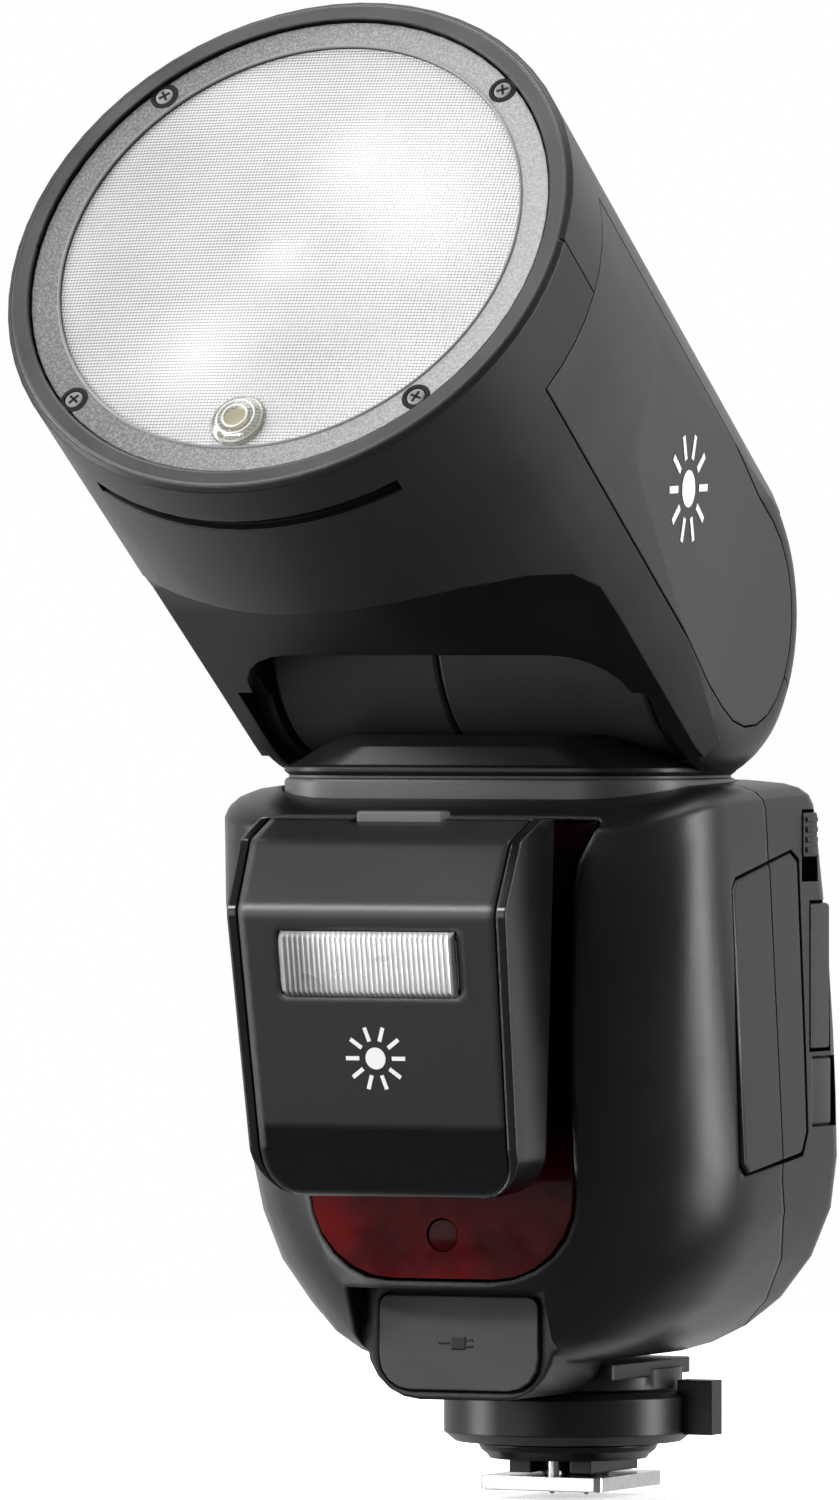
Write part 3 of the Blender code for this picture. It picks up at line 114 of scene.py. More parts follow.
# The head's face: its origin is on the tube's axis at the rim, +Z points out of it and +Y to the head's top.
FACE = HEAD @ Matrix.Translation((0, -HEAD_REACH, 0)) @ Matrix.Rotation(math.radians(90), 4, "X")
UPRIGHT = Matrix.Identity(4)
FRONTWARD = Matrix.Rotation(math.radians(90), 4, "X")


# ---------------------------------------------------------------- materials


class Shader:
    """A Principled material and the few node chains that the looks below share."""

    def __init__(self, name, colour, roughness, metallic=0.0, specular=0.4, **sockets):
        self.material = bpy.data.materials.new(name)
        self.material.use_nodes = True
        self.tree = self.material.node_tree
        self.bsdf = self.tree.nodes["Principled BSDF"]
        self.set("Base Color", (*colour, 1.0))
        self.set("Roughness", roughness)
        self.set("Metallic", metallic)
        self.set("Specular IOR Level", specular)
        for socket, value in sockets.items():
            self.set(socket.replace("_", " "), value)
        self.coordinates = self.add("ShaderNodeTexCoord").outputs["Object"]
        self.normal = None

    def add(self, kind, **settings):
        node = self.tree.nodes.new(kind)
        for key, value in settings.items():
            setattr(node, key, value)
        return node

    def set(self, socket, value):
        self.bsdf.inputs[socket].default_value = value

    def link(self, output, target):
        self.tree.links.new(output, target)

    def vary_roughness(self, value):
        self.link(value, self.bsdf.inputs["Roughness"])

    def noise(self, size, detail=2.0, stretch=(1, 1, 1), seed=0.0):
        """Noise whose grains are about size metres across."""
        mapping = self.add("ShaderNodeMapping")
        mapping.inputs["Scale"].default_value = stretch
        mapping.inputs["Location"].default_value = (seed, seed * 0.7, seed * 0.3)
        self.link(self.coordinates, mapping.inputs["Vector"])
        noise = self.add("ShaderNodeTexNoise")
        noise.inputs["Scale"].default_value = 1 / size
        noise.inputs["Detail"].default_value = detail
        self.link(mapping.outputs["Vector"], noise.inputs["Vector"])
        return noise.outputs["Fac"]

    def ranged(self, value, low, high, start=0.3, end=0.7):
        node = self.add("ShaderNodeMapRange")
        node.inputs["From Min"].default_value = start
        node.inputs["From Max"].default_value = end
        node.inputs["To Min"].default_value = low
        node.inputs["To Max"].default_value = high
        self.link(value, node.inputs["Value"])
        return node.outputs["Result"]

    def math(self, operation, first, second=0.0):
        node = self.add("ShaderNodeMath", operation=operation)
        for value, socket in ((first, node.inputs[0]), (second, node.inputs[1])):
            if isinstance(value, float):
                socket.default_value = value
            else:
                self.link(value, socket)
        return node.outputs[0]

    def axis(self, letter):
        node = self.add("ShaderNodeSeparateXYZ")
        self.link(self.coordinates, node.inputs[0])
        return node.outputs[letter]

    def mix_colour(self, factor, first, second):
        node = self.add("ShaderNodeMix", data_type="RGBA")
        node.inputs["A"].default_value = (*first, 1.0)
        node.inputs["B"].default_value = (*second, 1.0)
        self.link(factor, node.inputs["Factor"])
        self.link(node.outputs["Result"], self.bsdf.inputs["Base Color"])
        return node

    def round_edges(self, radius):
        node = self.add("ShaderNodeBevel", samples=6)
        node.inputs["Radius"].default_value = radius
        self.normal = node.outputs["Normal"]
        self.link(self.normal, self.bsdf.inputs["Normal"])

    def bump(self, height, depth, strength=1.0):
        node = self.add("ShaderNodeBump")
        node.inputs["Distance"].default_value = depth
        node.inputs["Strength"].default_value = strength
        self.link(height, node.inputs["Height"])
        if self.normal is not None:
            self.link(self.normal, node.inputs["Normal"])
        self.normal = node.outputs["Normal"]
        self.link(self.normal, self.bsdf.inputs["Normal"])


def moulded(
    name, colour, roughness, grain=0.22 * MM, depth=0.012 * MM, edge=0.35 * MM, spread=0.22, **sockets
):
    """Moulded plastic: fine spark-eroded grain, slow changes of tone and polish, and softly broken edges."""
    look = Shader(name, colour, roughness, **sockets)
    look.round_edges(edge)
    slow = look.noise(14 * MM, 3.0)
    fine = look.noise(grain, 2.0)
    darker = tuple(value * (1 - spread) for value in colour)
    lighter = tuple(value * (1 + spread) for value in colour)
    tone = look.math("ADD", slow, look.math("MULTIPLY", fine, 0.5))
    look.mix_colour(look.ranged(tone, 0.0, 1.0, 0.45, 1.05), darker, lighter)
    polish = look.math("ADD", look.math("MULTIPLY", slow, 0.10), look.math("MULTIPLY", fine, 0.08))
    look.vary_roughness(look.ranged(polish, roughness - 0.05, roughness + 0.07, 0.05, 0.13))
    look.bump(fine, depth)
    return look


def metal(name, colour, roughness, along=(1, 1, 1), depth=0.004 * MM):
    """Plated metal with faint drawn lines and a little handling wear."""
    look = Shader(name, colour, roughness, metallic=1.0)
    look.round_edges(0.18 * MM)
    lines = look.noise(0.12 * MM, 3.0, along)
    wear = look.noise(2.5 * MM, 4.0, seed=3.0)
    worn_lines = look.math("ADD", lines, wear)
    look.vary_roughness(look.ranged(worn_lines, roughness - 0.04, roughness + 0.12, 0.8, 1.25))
    look.mix_colour(look.ranged(wear, 0.0, 1.0), tuple(value * 0.86 for value in colour), colour)
    look.bump(lines, depth)
    return look


def clear(name, colour, roughness):
    """Clear moulded plastic or glass with a slight uneven haze."""
    look = Shader(name, colour, roughness, specular=0.5, Transmission_Weight=0.92, IOR=1.49)
    haze = look.noise(1.6 * MM, 3.0)
    look.vary_roughness(look.ranged(haze, roughness, roughness + 0.08))
    return look


SATIN = moulded("satin_black_plastic", (0.010, 0.010, 0.0103), 0.38, specular=0.30)
BODY = moulded("body_black_plastic", (0.007, 0.007, 0.0072), 0.34, grain=0.18 * MM, specular=0.30)
PANEL = moulded("panel_grey_plastic", (0.020, 0.020, 0.0205), 0.42, grain=0.16 * MM, specular=0.34)
PLATE = moulded(
    "neck_plate_plastic", (0.060, 0.060, 0.061), 0.42, grain=0.34 * MM, depth=0.03 * MM, specular=0.45
)
DRUM = moulded("drum_plastic", (0.034, 0.034, 0.0345), 0.44, grain=0.3 * MM, specular=0.5)
RUBBER = moulded(
    "rubber_black", (0.042, 0.042, 0.043), 0.58, grain=0.3 * MM, depth=0.02 * MM, specular=0.35
)
BUTTON = moulded("button_grey_plastic", (0.085, 0.085, 0.088), 0.45, grain=0.2 * MM)
GLOSS = moulded("gloss_black_plastic", (0.007, 0.007, 0.0075), 0.13, depth=0.0, edge=0.5 * MM, specular=0.45)
BOARD = moulded("solder_mask", (0.02, 0.11, 0.05), 0.4, depth=0.0)
SLEEVE = moulded("capacitor_sleeve", (0.03, 0.04, 0.09), 0.3, depth=0.0)
LED = moulded("led_phosphor", (0.52, 0.47, 0.30), 0.45, grain=0.12 * MM)
PRINT = moulded("white_print", (0.80, 0.80, 0.79), 0.5, grain=0.1 * MM, edge=0.02 * MM, spread=0.04)
# Painted shadow: a near-black for gaps and recesses where shade falls.
SHADOW_BLACK = moulded("shadow_black", (0.003, 0.003, 0.003), 0.6, depth=0.0, specular=0.2)
CHROME = metal("chrome_plate", (0.62, 0.62, 0.63), 0.14, (6, 1, 1))
STEEL = metal("plain_steel", (0.46, 0.46, 0.47), 0.28)
GOLD = metal("gold_contact", (0.50, 0.40, 0.22), 0.28)
SILVER = metal("bright_reflector", (0.90, 0.90, 0.91), 0.34, depth=0.012 * MM)
WHITE_BOWL = moulded("white_bowl", (0.88, 0.88, 0.88), 0.35, depth=0.0, spread=0.05)
GLASS = clear("tube_glass", (0.97, 0.97, 0.95), 0.02)
BEAD = moulded("lamp_bead", (0.66, 0.66, 0.63), 0.16, depth=0.0, edge=0.02 * MM, spread=0.08)
DOME = clear("dome_plastic", (0.97, 0.96, 0.90), 0.06)


def ribbed_look():
    """The small flash's ribbed window: a painted reflection of the bright bowl close behind it, darker
    towards one side at the tube's end.
    """
    look = Shader("ribbed_window", (0.92, 0.92, 0.93), 0.24, specular=0.6)
    across = look.math("ADD", look.axis("X"), look.math("MULTIPLY", look.noise(5 * MM, 2.0), 3 * MM))
    # Painted reflection: pale and partly metallic across most of the window, for the lit bowl behind it.
    bright = look.ranged(across, 0.0, 1.0, -8.5 * MM, -3.0 * MM)
    look.mix_colour(bright, (0.34, 0.34, 0.345), (0.97, 0.97, 0.975))
    look.link(look.ranged(bright, 0.25, 0.60, 0.0, 1.0), look.bsdf.inputs["Metallic"])
    look.vary_roughness(look.ranged(look.noise(6 * MM, 1.0), 0.26, 0.36))
    return look


RIBBED = ribbed_look()


def cover_look():
    """The small module's cover: semi-gloss, with a polished darker band across its foot."""
    low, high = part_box("sub_flash_cover")
    look = moulded(
        "cover_semi_gloss", (0.018, 0.018, 0.0185), 0.30,
        grain=0.3 * MM, depth=0.004 * MM, edge=1.6 * MM, specular=0.45,
    )
    band_top = low.z + 0.19 * (high.z - low.z)
    above = look.ranged(look.axis("Z"), 0.0, 1.0, band_top - 0.5 * MM, band_top + 0.6 * MM)
    look.vary_roughness(look.ranged(above, 0.07, 0.27, 0.0, 1.0))
    look.mix_colour(above, (0.0015, 0.0015, 0.0016), (0.022, 0.022, 0.0225))
    return look


def ring_look():
    """The ring round the lens: a coarse sparkling grain, painted paler towards its +X side where the light
    falls.
    """
    look = Shader("ring_grain", (0.10, 0.10, 0.102), 0.42, specular=0.6)
    look.round_edges(0.3 * MM)
    coarse = look.noise(0.34 * MM, 3.0)
    fine = look.noise(0.16 * MM, 2.0, seed=5.0)
    # Painted light: paler towards +X.
    across = look.ranged(look.axis("X"), -0.06, 0.75, -20 * MM, 40 * MM)
    tone = look.math("ADD", look.ranged(coarse, 0.0, 0.5, 0.40, 0.68), across)
    look.mix_colour(tone, (0.080, 0.080, 0.082), (0.34, 0.34, 0.345))
    look.vary_roughness(look.ranged(fine, 0.38, 0.58))
    look.bump(look.math("ADD", coarse, look.math("MULTIPLY", fine, 0.5)), 0.10 * MM)
    return look


def red_look():
    """Dark red window plastic that lets a little of the moulding behind it show, with painted shade making it
    near black above its lowest part, under the small module.
    """
    look = Shader("red_window", (0.045, 0.002, 0.003), 0.12, specular=0.10)
    low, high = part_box("af_window")
    cloud = look.noise(8 * MM, 2.0)
    height = high.z - low.z
    # Painted shade: near black above the window's lowest part, where the small module shades it.
    clear_of_painted_shade = look.ranged(look.axis("Z"), 1.0, 0.0, low.z + 0.13 * height, low.z + 0.34 * height)
    shade = look.math("MULTIPLY", look.ranged(cloud, 0.45, 1.0, 0.36, 0.62), clear_of_painted_shade)
    look.mix_colour(shade, (0.0040, 0.0008, 0.0009), (0.100, 0.0015, 0.003))
    look.vary_roughness(look.ranged(look.noise(3 * MM, 3.0, seed=2.0), 0.10, 0.22))
    return look


PRISM_PITCH = 0.95 * MM
# Painted highlights on the lens for the bowl's bright patches behind it: centre and reach, as shares of the
# lens's radius.
LENS_PAINTED_HIGHLIGHTS = (((0.0, -0.06), 0.26), ((0.22, 0.42), 0.36), ((0.55, 0.25), 0.75), ((-0.25, -0.55), 0.45))


def lens_look(radius):
    """The main lens: whitish clear plastic, with crossed prism ridges, painted soft shading, painted
    highlights for the bowl's bright patches behind it, and painted shade towards its -X side.
    """
    look = Shader("prism_lens", (0.80, 0.80, 0.81), 0.22, specular=0.6, Coat_Weight=0.15, Coat_Roughness=0.15)
    rows = look.math("SINE", look.math("MULTIPLY", look.axis("Y"), 2 * math.pi / PRISM_PITCH))
    columns = look.math("SINE", look.math("MULTIPLY", look.axis("X"), 2 * math.pi / PRISM_PITCH))
    weak_columns = look.math("MULTIPLY", look.math("ABSOLUTE", columns), 0.6)
    grid = look.math("MULTIPLY", look.math("ADD", look.math("ABSOLUTE", rows), weak_columns), 0.62)
    # Painted light: soft uneven shading over the whole lens.
    shade = look.math("MULTIPLY", look.noise(radius * 0.7, 1.0, (1.0, 1.5, 1.0), seed=1.3), 0.30)
    for place, reach in LENS_PAINTED_HIGHLIGHTS:
        offset = look.add("ShaderNodeVectorMath", operation="DISTANCE")
        offset.inputs[1].default_value = (place[0] * radius, place[1] * radius, -0.5 * MM)
        look.link(look.coordinates, offset.inputs[0])
        painted_spot = look.ranged(offset.outputs["Value"], 1.0, 0.0, 0.0, reach * radius)
        shade = look.math("ADD", shade, look.math("MULTIPLY", look.math("MULTIPLY", painted_spot, painted_spot), 0.34))
    shade = look.math("ADD", shade, look.math("MULTIPLY", grid, 0.80))
    # Painted shade: darker towards the lens's -X side.
    shade = look.math("ADD", shade, look.ranged(look.axis("X"), -0.17, 0.04, -0.8 * radius, 0.5 * radius))
    look.mix_colour(look.ranged(shade, 0.0, 1.0, 0.12, 1.0), (0.13, 0.13, 0.134), (0.65, 0.65, 0.658))
    look.vary_roughness(look.ranged(grid, 0.16, 0.34, 0.0, 1.0))
    look.bump(grid, 0.16 * MM)
    return look


def lcd_look():
    """The display's dark glass, a little cloudy, under a clear coat."""
    look = Shader(
        "display_glass", (0.012, 0.014, 0.017), 0.05, specular=0.5, Coat_Weight=0.6, Coat_Roughness=0.02
    )
    cloud = look.ranged(look.noise(20 * MM, 1.0), 0.0, 1.0)
    look.mix_colour(cloud, (0.008, 0.010, 0.012), (0.018, 0.021, 0.026))
    look.vary_roughness(look.ranged(look.noise(6 * MM, 3.0), 0.04, 0.09))
    return look


SENSOR = moulded("af_sensor_red", (0.040, 0.0015, 0.002), 0.14, depth=0.0, edge=0.02 * MM, specular=0.08)
LOOK_OF_SLOT = {
    "shell_black": SATIN,
    "gloss_black": GLOSS,
    "ring_black": BUTTON,
    "panel_grey": PANEL,
    "rubber_black": RUBBER,
    "button_grey": BUTTON,
    "af_red": red_look(),
    "chrome": CHROME,
    "contact_gold": GOLD,
    "steel": STEEL,
    "reflector_silver": SILVER,
    "lens_clear": DOME,
    "tube_glass": GLASS,
    "led_yellow": LED,
    "lcd_glass": lcd_look(),
    "board_green": BOARD,
    "capacitor_sleeve": SLEEVE,
}
LOOK_OF_NODE = {
    "front_shell": moulded(
        "front_shell_plastic", (0.008, 0.008, 0.0082), 0.33, grain=0.18 * MM, edge=1.1 * MM, specular=0.32
    ),
    "rear_shell": BODY,
    "battery_pack": BODY,
    "locking_collar": BODY,
    "battery_latch": SATIN,
    "side_port_cover": PANEL,
    "sub_flash_reflector": WHITE_BOWL,
    "shoe_stem": BODY,
    "neck_base_plate": PLATE,
    "sub_flash_cover": cover_look(),
    "front_ring": ring_look(),
    "neck_drum_left": DRUM,
    "neck_drum_right": DRUM,
}


# ---------------------------------------------------------------- pieces


def placed(name, mesh, look, body, place=UPRIGHT, smooth=30.0):
    """Adds a finished piece that rides on a CAD body."""
    obj = bpy.data.objects.new(name, mesh)
    bpy.context.scene.collection.objects.link(obj)
    obj.matrix_world = place
    mesh.materials.clear()
    mesh.materials.append(look.material)
    for polygon in mesh.polygons:
        polygon.use_smooth = True
    mesh.set_sharp_from_angle(angle=math.radians(smooth))
    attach(obj, body)
    return obj


REFINED_SMOOTH = 26.0  # degrees between faces that still shade as one
FLAT_ENOUGH = math.radians(0.4)  # faces closer to one plane than this are joined


def refined(node):
    """A CAD node with its points joined, so that its curved faces shade smoothly. It stands for that node."""
    work = bmesh.new()
    work.from_mesh(frame["nodes"][node].data)
    bmesh.ops.remove_doubles(work, verts=work.verts, dist=WELD)
    bmesh.ops.dissolve_limit(work, angle_limit=FLAT_ENOUGH, verts=work.verts, edges=work.edges)
    mesh = bpy.data.meshes.new(node + "_skin")
    work.to_mesh(mesh)
    work.free()
    if "custom_normal" in mesh.attributes:
        mesh.attributes.remove(mesh.attributes["custom_normal"])
    look = LOOK_OF_NODE.get(node) or LOOK_OF_SLOT[SLOT_OF[node]]
    obj = placed(node + "_skin", mesh, look, BODY_OF[node], smooth=REFINED_SMOOTH)
    weighted = obj.modifiers.new("weighted", "WEIGHTED_NORMAL")
    weighted.keep_sharp = True
    weighted.weight = 60
    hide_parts(node)
    return obj


def mesh_from(vertices, faces, name):
    mesh = bpy.data.meshes.new(name)
    mesh.from_pydata([tuple(v) for v in vertices], [], faces)
    work = bmesh.new()
    work.from_mesh(mesh)
    bmesh.ops.recalc_face_normals(work, faces=work.faces)
    work.to_mesh(mesh)
    work.free()
    return mesh


def ring_faces(rows, steps, closed):
    """Faces between each ring of points and the next, and from the last ring to the first when closed."""
    faces = []
    for row in range(rows if closed else rows - 1):
        for step in range(steps):
            after = (step + 1) % steps
            above = (row + 1) % rows
            corners = (row * steps + step, row * steps + after, above * steps + after)
            faces.append((*corners, above * steps + step))
    return faces


def turned(name, profile, look, body, place, steps=64, closed=False, smooth=30.0):
    """A round piece from (radius, height) points about the place's +Z axis."""
    vertices = []
    for radius, height in profile:
        for step in range(steps):
            angle = 2 * math.pi * step / steps
            vertices.append((radius * math.cos(angle), radius * math.sin(angle), height))
    rows = len(profile)
    faces = ring_faces(rows, steps, closed)
    if not closed:
        faces.append(tuple(range(steps)))
        faces.append(tuple((rows - 1) * steps + step for step in range(steps)))
    mesh = mesh_from(vertices, faces, name)
    return placed(name, mesh, look, body, place, smooth)


def block(work, centre, size, turn=0.0, rounded=0.0):
    """Adds a box to a bmesh, turned about Z, with rounded edges."""
    made = bmesh.ops.create_cube(work, size=1.0)["verts"]
    matrix = Matrix.Translation(centre) @ Matrix.Rotation(turn, 4, "Z") @ Matrix.Diagonal((*size, 1.0))
    bmesh.ops.transform(work, matrix=matrix, verts=made)
    if rounded:
        edges = list({edge for vertex in made for edge in vertex.link_edges})
        bmesh.ops.bevel(work, geom=edges, offset=rounded, segments=3, profile=0.5, affect="EDGES")


def blocks(name, boxes, look, body, place):
    """One piece from boxes: (centre, size, turn, rounded) each."""
    work = bmesh.new()
    for centre, size, turn, rounded in boxes:
        block(work, centre, size, turn, rounded)
    mesh = bpy.data.meshes.new(name)
    work.to_mesh(mesh)
    work.free()
    return placed(name, mesh, look, body, place)


def hoop(name, radius, thickness, height, place, look, body):
    """A thin round bead of the given centre radius."""
    profile = []
    for step in range(8):
        angle = 2 * math.pi * step / 8
        profile.append((radius + thickness / 2 * math.cos(angle), height + thickness / 2 * math.sin(angle)))
    return turned(name, profile, look, body, place, steps=128, closed=True, smooth=80.0)


CORNER_STEPS = 6


def rounded_rectangle(half_width, half_height, corner):
    """Points round a rectangle with round corners, anticlockwise from the top right."""
    points = []
    for turn, (side, rise) in enumerate(((1, 1), (-1, 1), (-1, -1), (1, -1))):
        for step in range(CORNER_STEPS + 1):
            angle = math.pi / 2 * (turn + step / CORNER_STEPS)
            x = side * (half_width - corner) + corner * math.cos(angle)
            points.append((x, rise * (half_height - corner) + corner * math.sin(angle)))
    return points


def framed(name, outer, inner, low, high, look, body, place):
    """A flat frame between two outlines with as many points each."""
    count = len(outer)
    vertices = [(x, y, height) for height in (low, high) for outline in (outer, inner) for x, y in outline]
    faces = []
    for step in range(count):
        after = (step + 1) % count
        for first, second in ((0, 1), (1, 3), (3, 2), (2, 0)):
            corners = (first * count + step, first * count + after, second * count + after)
            faces.append((*corners, second * count + step))
    return placed(name, mesh_from(vertices, faces, name), look, body, place)


def laid_on(name, shapes, origin, across, up, towards, node, look, body, proud=0.05 * MM):
    """Flat shapes, each a list of (u, v) points, laid on a CAD node's surface as a thin print."""
    surface = surface_of(node)
    vertices = []
    faces = []
    for shape in shapes:
        first = len(vertices)
        for lift in (proud, -proud):
            for u, v in shape:
                start = origin + across * u + up * v - towards * 0.03
                hit = surface.ray_cast(start, towards)[0]
                vertices.append(hit - towards * lift)
        count = len(shape)
        faces.append(tuple(first + step for step in range(count)))
        faces.append(tuple(first + count + step for step in reversed(range(count))))
        for step in range(count):
            after = (step + 1) % count
            faces.append((first + step, first + count + step, first + count + after, first + after))
    return placed(name, mesh_from(vertices, faces, name), look, body)


RAYS = 10
# The symbol's measures, as shares of its radius.
RAY_START = 0.55
RAY_WIDTH = 0.13
DISC_SHARE = 0.34
DISC_STEPS = 20


def burst(size):
    """A plain light symbol: a disc with short rays round it."""
    turns = [2 * math.pi * step / DISC_STEPS for step in range(DISC_STEPS)]
    disc = [(size * DISC_SHARE * math.cos(turn), size * DISC_SHARE * math.sin(turn)) for turn in turns]
    shapes = [disc]
    for ray in range(RAYS):
        angle = 2 * math.pi * ray / RAYS
        along = Vector((math.cos(angle), math.sin(angle)))
        side = Vector((-along.y, along.x)) * size * RAY_WIDTH / 2
        near, far = along * size * RAY_START, along * size
        shapes.append([tuple(near - side), tuple(far - side), tuple(far + side), tuple(near + side)])
    return shapes


SCREWS = range(1, 5)
# A piece made further down stands for each of these nodes, except that the board keeps its CAD mesh.
NOT_REFINED = {
    "af_sensor_lens", "main_board", "front_lens", "modelling_lamp_lens", "sub_flash_window", "control_dial",
    *(f"ring_screw_{number}" for number in SCREWS),
}
for node_name in sorted(frame["nodes"]):
    if node_name not in NOT_REFINED:
        refined(node_name)
board_mesh = frame["nodes"]["main_board"].data
board_mesh.materials.clear()
board_mesh.materials.append(BOARD.material)


# ---------------------------------------------------------------- head: lens, lamp, ring and screws

lens_low, lens_high = node_box("front_lens", FACE)
lens_radius = lens_high.x
LENS = lens_look(lens_radius)
ring_high = node_box("front_ring", FACE)[1]
ring_outer = ring_high.x
LENS_CROWN = 0.9 * MM  # how far the lens bulges
LENS_RINGS = 14
lens_edge = ring_high.z - 0.35 * MM
lens_profile = [(lens_radius, lens_low.z), (lens_radius, lens_edge)]
for ring in range(LENS_RINGS):
    share = 1 - (ring + 1) / LENS_RINGS
    radius = max(lens_radius * share, TIP)
    lens_profile.append((radius, lens_edge + LENS_CROWN * (1 - (radius / lens_radius) ** 2)))
lens = turned("prism_lens_disc", lens_profile, LENS, "head", FACE, steps=128)
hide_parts("front_lens")

lamp_low, lamp_high = node_box("modelling_lamp_lens", FACE)
lamp_centre = (lamp_low + lamp_high) / 2
lamp_radius = (lamp_high.x - lamp_low.x) / 2
LAMP = FACE @ Matrix.Translation((lamp_centre.x, lamp_centre.y, lens_edge + 0.25 * MM))
DOME_STEPS = 8
DOME_SPREAD = 1.12  # the dome's radius and height, as shares of the lamp's radius
DOME_RISE = 0.36
dome_profile = []
for step in range(DOME_STEPS + 1):
    angle = math.radians(90 * step / DOME_STEPS)
    dome_radius = max(DOME_SPREAD * lamp_radius * math.cos(angle), TIP)
    dome_profile.append((dome_radius, lamp_radius * DOME_RISE * math.sin(angle)))
dome = turned("lamp_dome", dome_profile, DOME, "head", LAMP, steps=40)
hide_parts("modelling_lamp_lens")
for share, rise in ((0.98, 0.10), (0.74, 0.26), (0.48, 0.33)):
    hoop(
        f"lamp_bead_{round(share * 100)}", lamp_radius * share, 0.34 * MM, lamp_radius * rise,
        LAMP, BEAD, "head",
    )
turned(
    "lamp_emitter", [(1.7 * MM, 0.02 * MM), (1.7 * MM, 0.1 * MM), (TIP, 0.1 * MM)],
    LED, "head", LAMP, steps=24,
)

LIP = moulded("lip_light_plastic", (0.20, 0.20, 0.205), 0.30, grain=0.2 * MM)
# Painted highlight: a light grey bead along the ring's inner edge.
lip_height = ring_high.z - 0.05 * MM
hoop("ring_lip_painted_highlight", lens_radius + 0.25 * MM, 0.5 * MM, lip_height, FACE, LIP, "head")

# Painted light: the rim's face and a thin bead near its outer edge are painted lighter grey than the shell,
# for the lit rim.
RIM_PAINTED_LIGHT = moulded("rim_painted_light", (0.055, 0.055, 0.056), 0.30, grain=0.2 * MM)
rim_radius = node_box("head_upper_shell", FACE)[1].x
hoop("rim_edge_painted_highlight", rim_radius - 1.0 * MM, 0.7 * MM, -0.25 * MM, FACE, RIM_PAINTED_LIGHT, "head")
turned(
    "rim_face_painted_light",
    [
        (ring_outer + 0.45 * MM, -0.1 * MM), (ring_outer + 0.45 * MM, 0.03 * MM),
        (rim_radius - 0.9 * MM, 0.03 * MM), (rim_radius - 0.9 * MM, -0.1 * MM),
    ],
    RIM_PAINTED_LIGHT, "head", FACE, steps=128, closed=True,
)

for number in SCREWS:
    screw_low, screw_high = node_box(f"ring_screw_{number}", FACE)
    centre = (screw_low + screw_high) / 2
    screw_place = FACE @ Matrix.Translation((centre.x, centre.y, ring_high.z))
    head_radius = (screw_high.x - screw_low.x) / 2
    # Painted shadow: a black ring round each screw head for its counterbore, and a black cross for its
    # recess.
    turned(
        f"screw_counterbore_shadow_{number}",
        [
            (head_radius + 0.75 * MM, -0.1 * MM), (head_radius + 0.75 * MM, 0.03 * MM),
            (head_radius + 0.2 * MM, 0.03 * MM), (head_radius, -0.1 * MM),
        ],
        SHADOW_BLACK, "head", screw_place, steps=32, closed=True,
    )
    screw = turned(
        f"screw_head_{number}",
        [
            (head_radius, -1.0 * MM), (head_radius, 0.02 * MM),
            (head_radius * 0.86, 0.14 * MM), (TIP, 0.17 * MM),
        ],
        LIP, "head", screw_place, steps=32,
    )
    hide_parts(f"ring_screw_{number}")
    arm_size = (head_radius * 1.35, 0.34 * MM, 0.08 * MM)
    arms = [((0, 0, 0.16 * MM), arm_size, math.radians(turn + 17 * number), 0.0) for turn in (0.0, 90.0)]
    blocks(f"screw_cross_shadow_{number}", arms, SHADOW_BLACK, "head", screw_place)


# ---------------------------------------------------------------- rear: the knurled dial

dial_axis = Vector(JOINT["control_dial_turn"]["axis"]).normalized()
DIAL = Matrix.Translation(Vector(JOINT["control_dial_turn"]["pos_m"]))
DIAL = DIAL @ dial_axis.to_track_quat("Z", "X").to_matrix().to_4x4()
dial_low, dial_high = node_box("control_dial", DIAL)
hole_radius = node_box("set_button", DIAL)[1].x + 0.3 * MM
DIAL_RIBS = 36
RIB_REACH = 0.25 * MM
dial_rows = (  # radius, height and depth of the ribs
    (hole_radius, dial_low.z, 0.0),
    (dial_high.x - 0.4 * MM, dial_low.z, 0.0),
    (dial_high.x - RIB_REACH, dial_low.z + 0.3 * MM, RIB_REACH),
    (dial_high.x - RIB_REACH, dial_high.z - 0.8 * MM, RIB_REACH),
    (dial_high.x - 0.7 * MM, dial_high.z - 0.2 * MM, 0.15 * MM),
    (dial_high.x - 1.5 * MM, dial_high.z, 0.0),
    (hole_radius + 0.9 * MM, dial_high.z - 0.15 * MM, 0.0),
    (hole_radius, dial_high.z - 0.7 * MM, 0.0),
)
dial_steps = DIAL_RIBS * 6
dial_vertices = []
for radius, height, depth in dial_rows:
    for step in range(dial_steps):
        angle = 2 * math.pi * step / dial_steps
        reach = radius + depth * math.cos(DIAL_RIBS * angle)
        dial_vertices.append((reach * math.cos(angle), reach * math.sin(angle), height))
dial_mesh = mesh_from(dial_vertices, ring_faces(len(dial_rows), dial_steps, True), "control_dial_knurled")
dial = placed(
    "control_dial_knurled", dial_mesh, BUTTON, "control_dial", DIAL, smooth=40.0
)
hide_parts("control_dial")


# ---------------------------------------------------------------- front module: ribbed window and its frame

RIBS = 34
COLUMNS = RIBS * 4
RIB_DEPTH = 0.16 * MM
EDGE_FALL = 0.35 * MM  # how far the window falls away round its edge
EDGE_WIDTH = 1.0 * MM
ROW_SHARES = (-1, -0.86, -0.2, 0.2, 0.86, 1)  # the rows' heights, as shares of the window's half height
win_low, win_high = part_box("sub_flash_window")
win_centre = (win_low + win_high) / 2
half_w = (win_high.x - win_low.x) / 2
half_h = (win_high.z - win_low.z) / 2
cover_surface = surface_of("sub_flash_cover")


def cover_at(height):
    """The cover's face beside the window, at a height."""
    return cover_surface.ray_cast(Vector((half_w + 1.2 * MM, -0.2, height)), Vector((0, 1, 0)))[0]


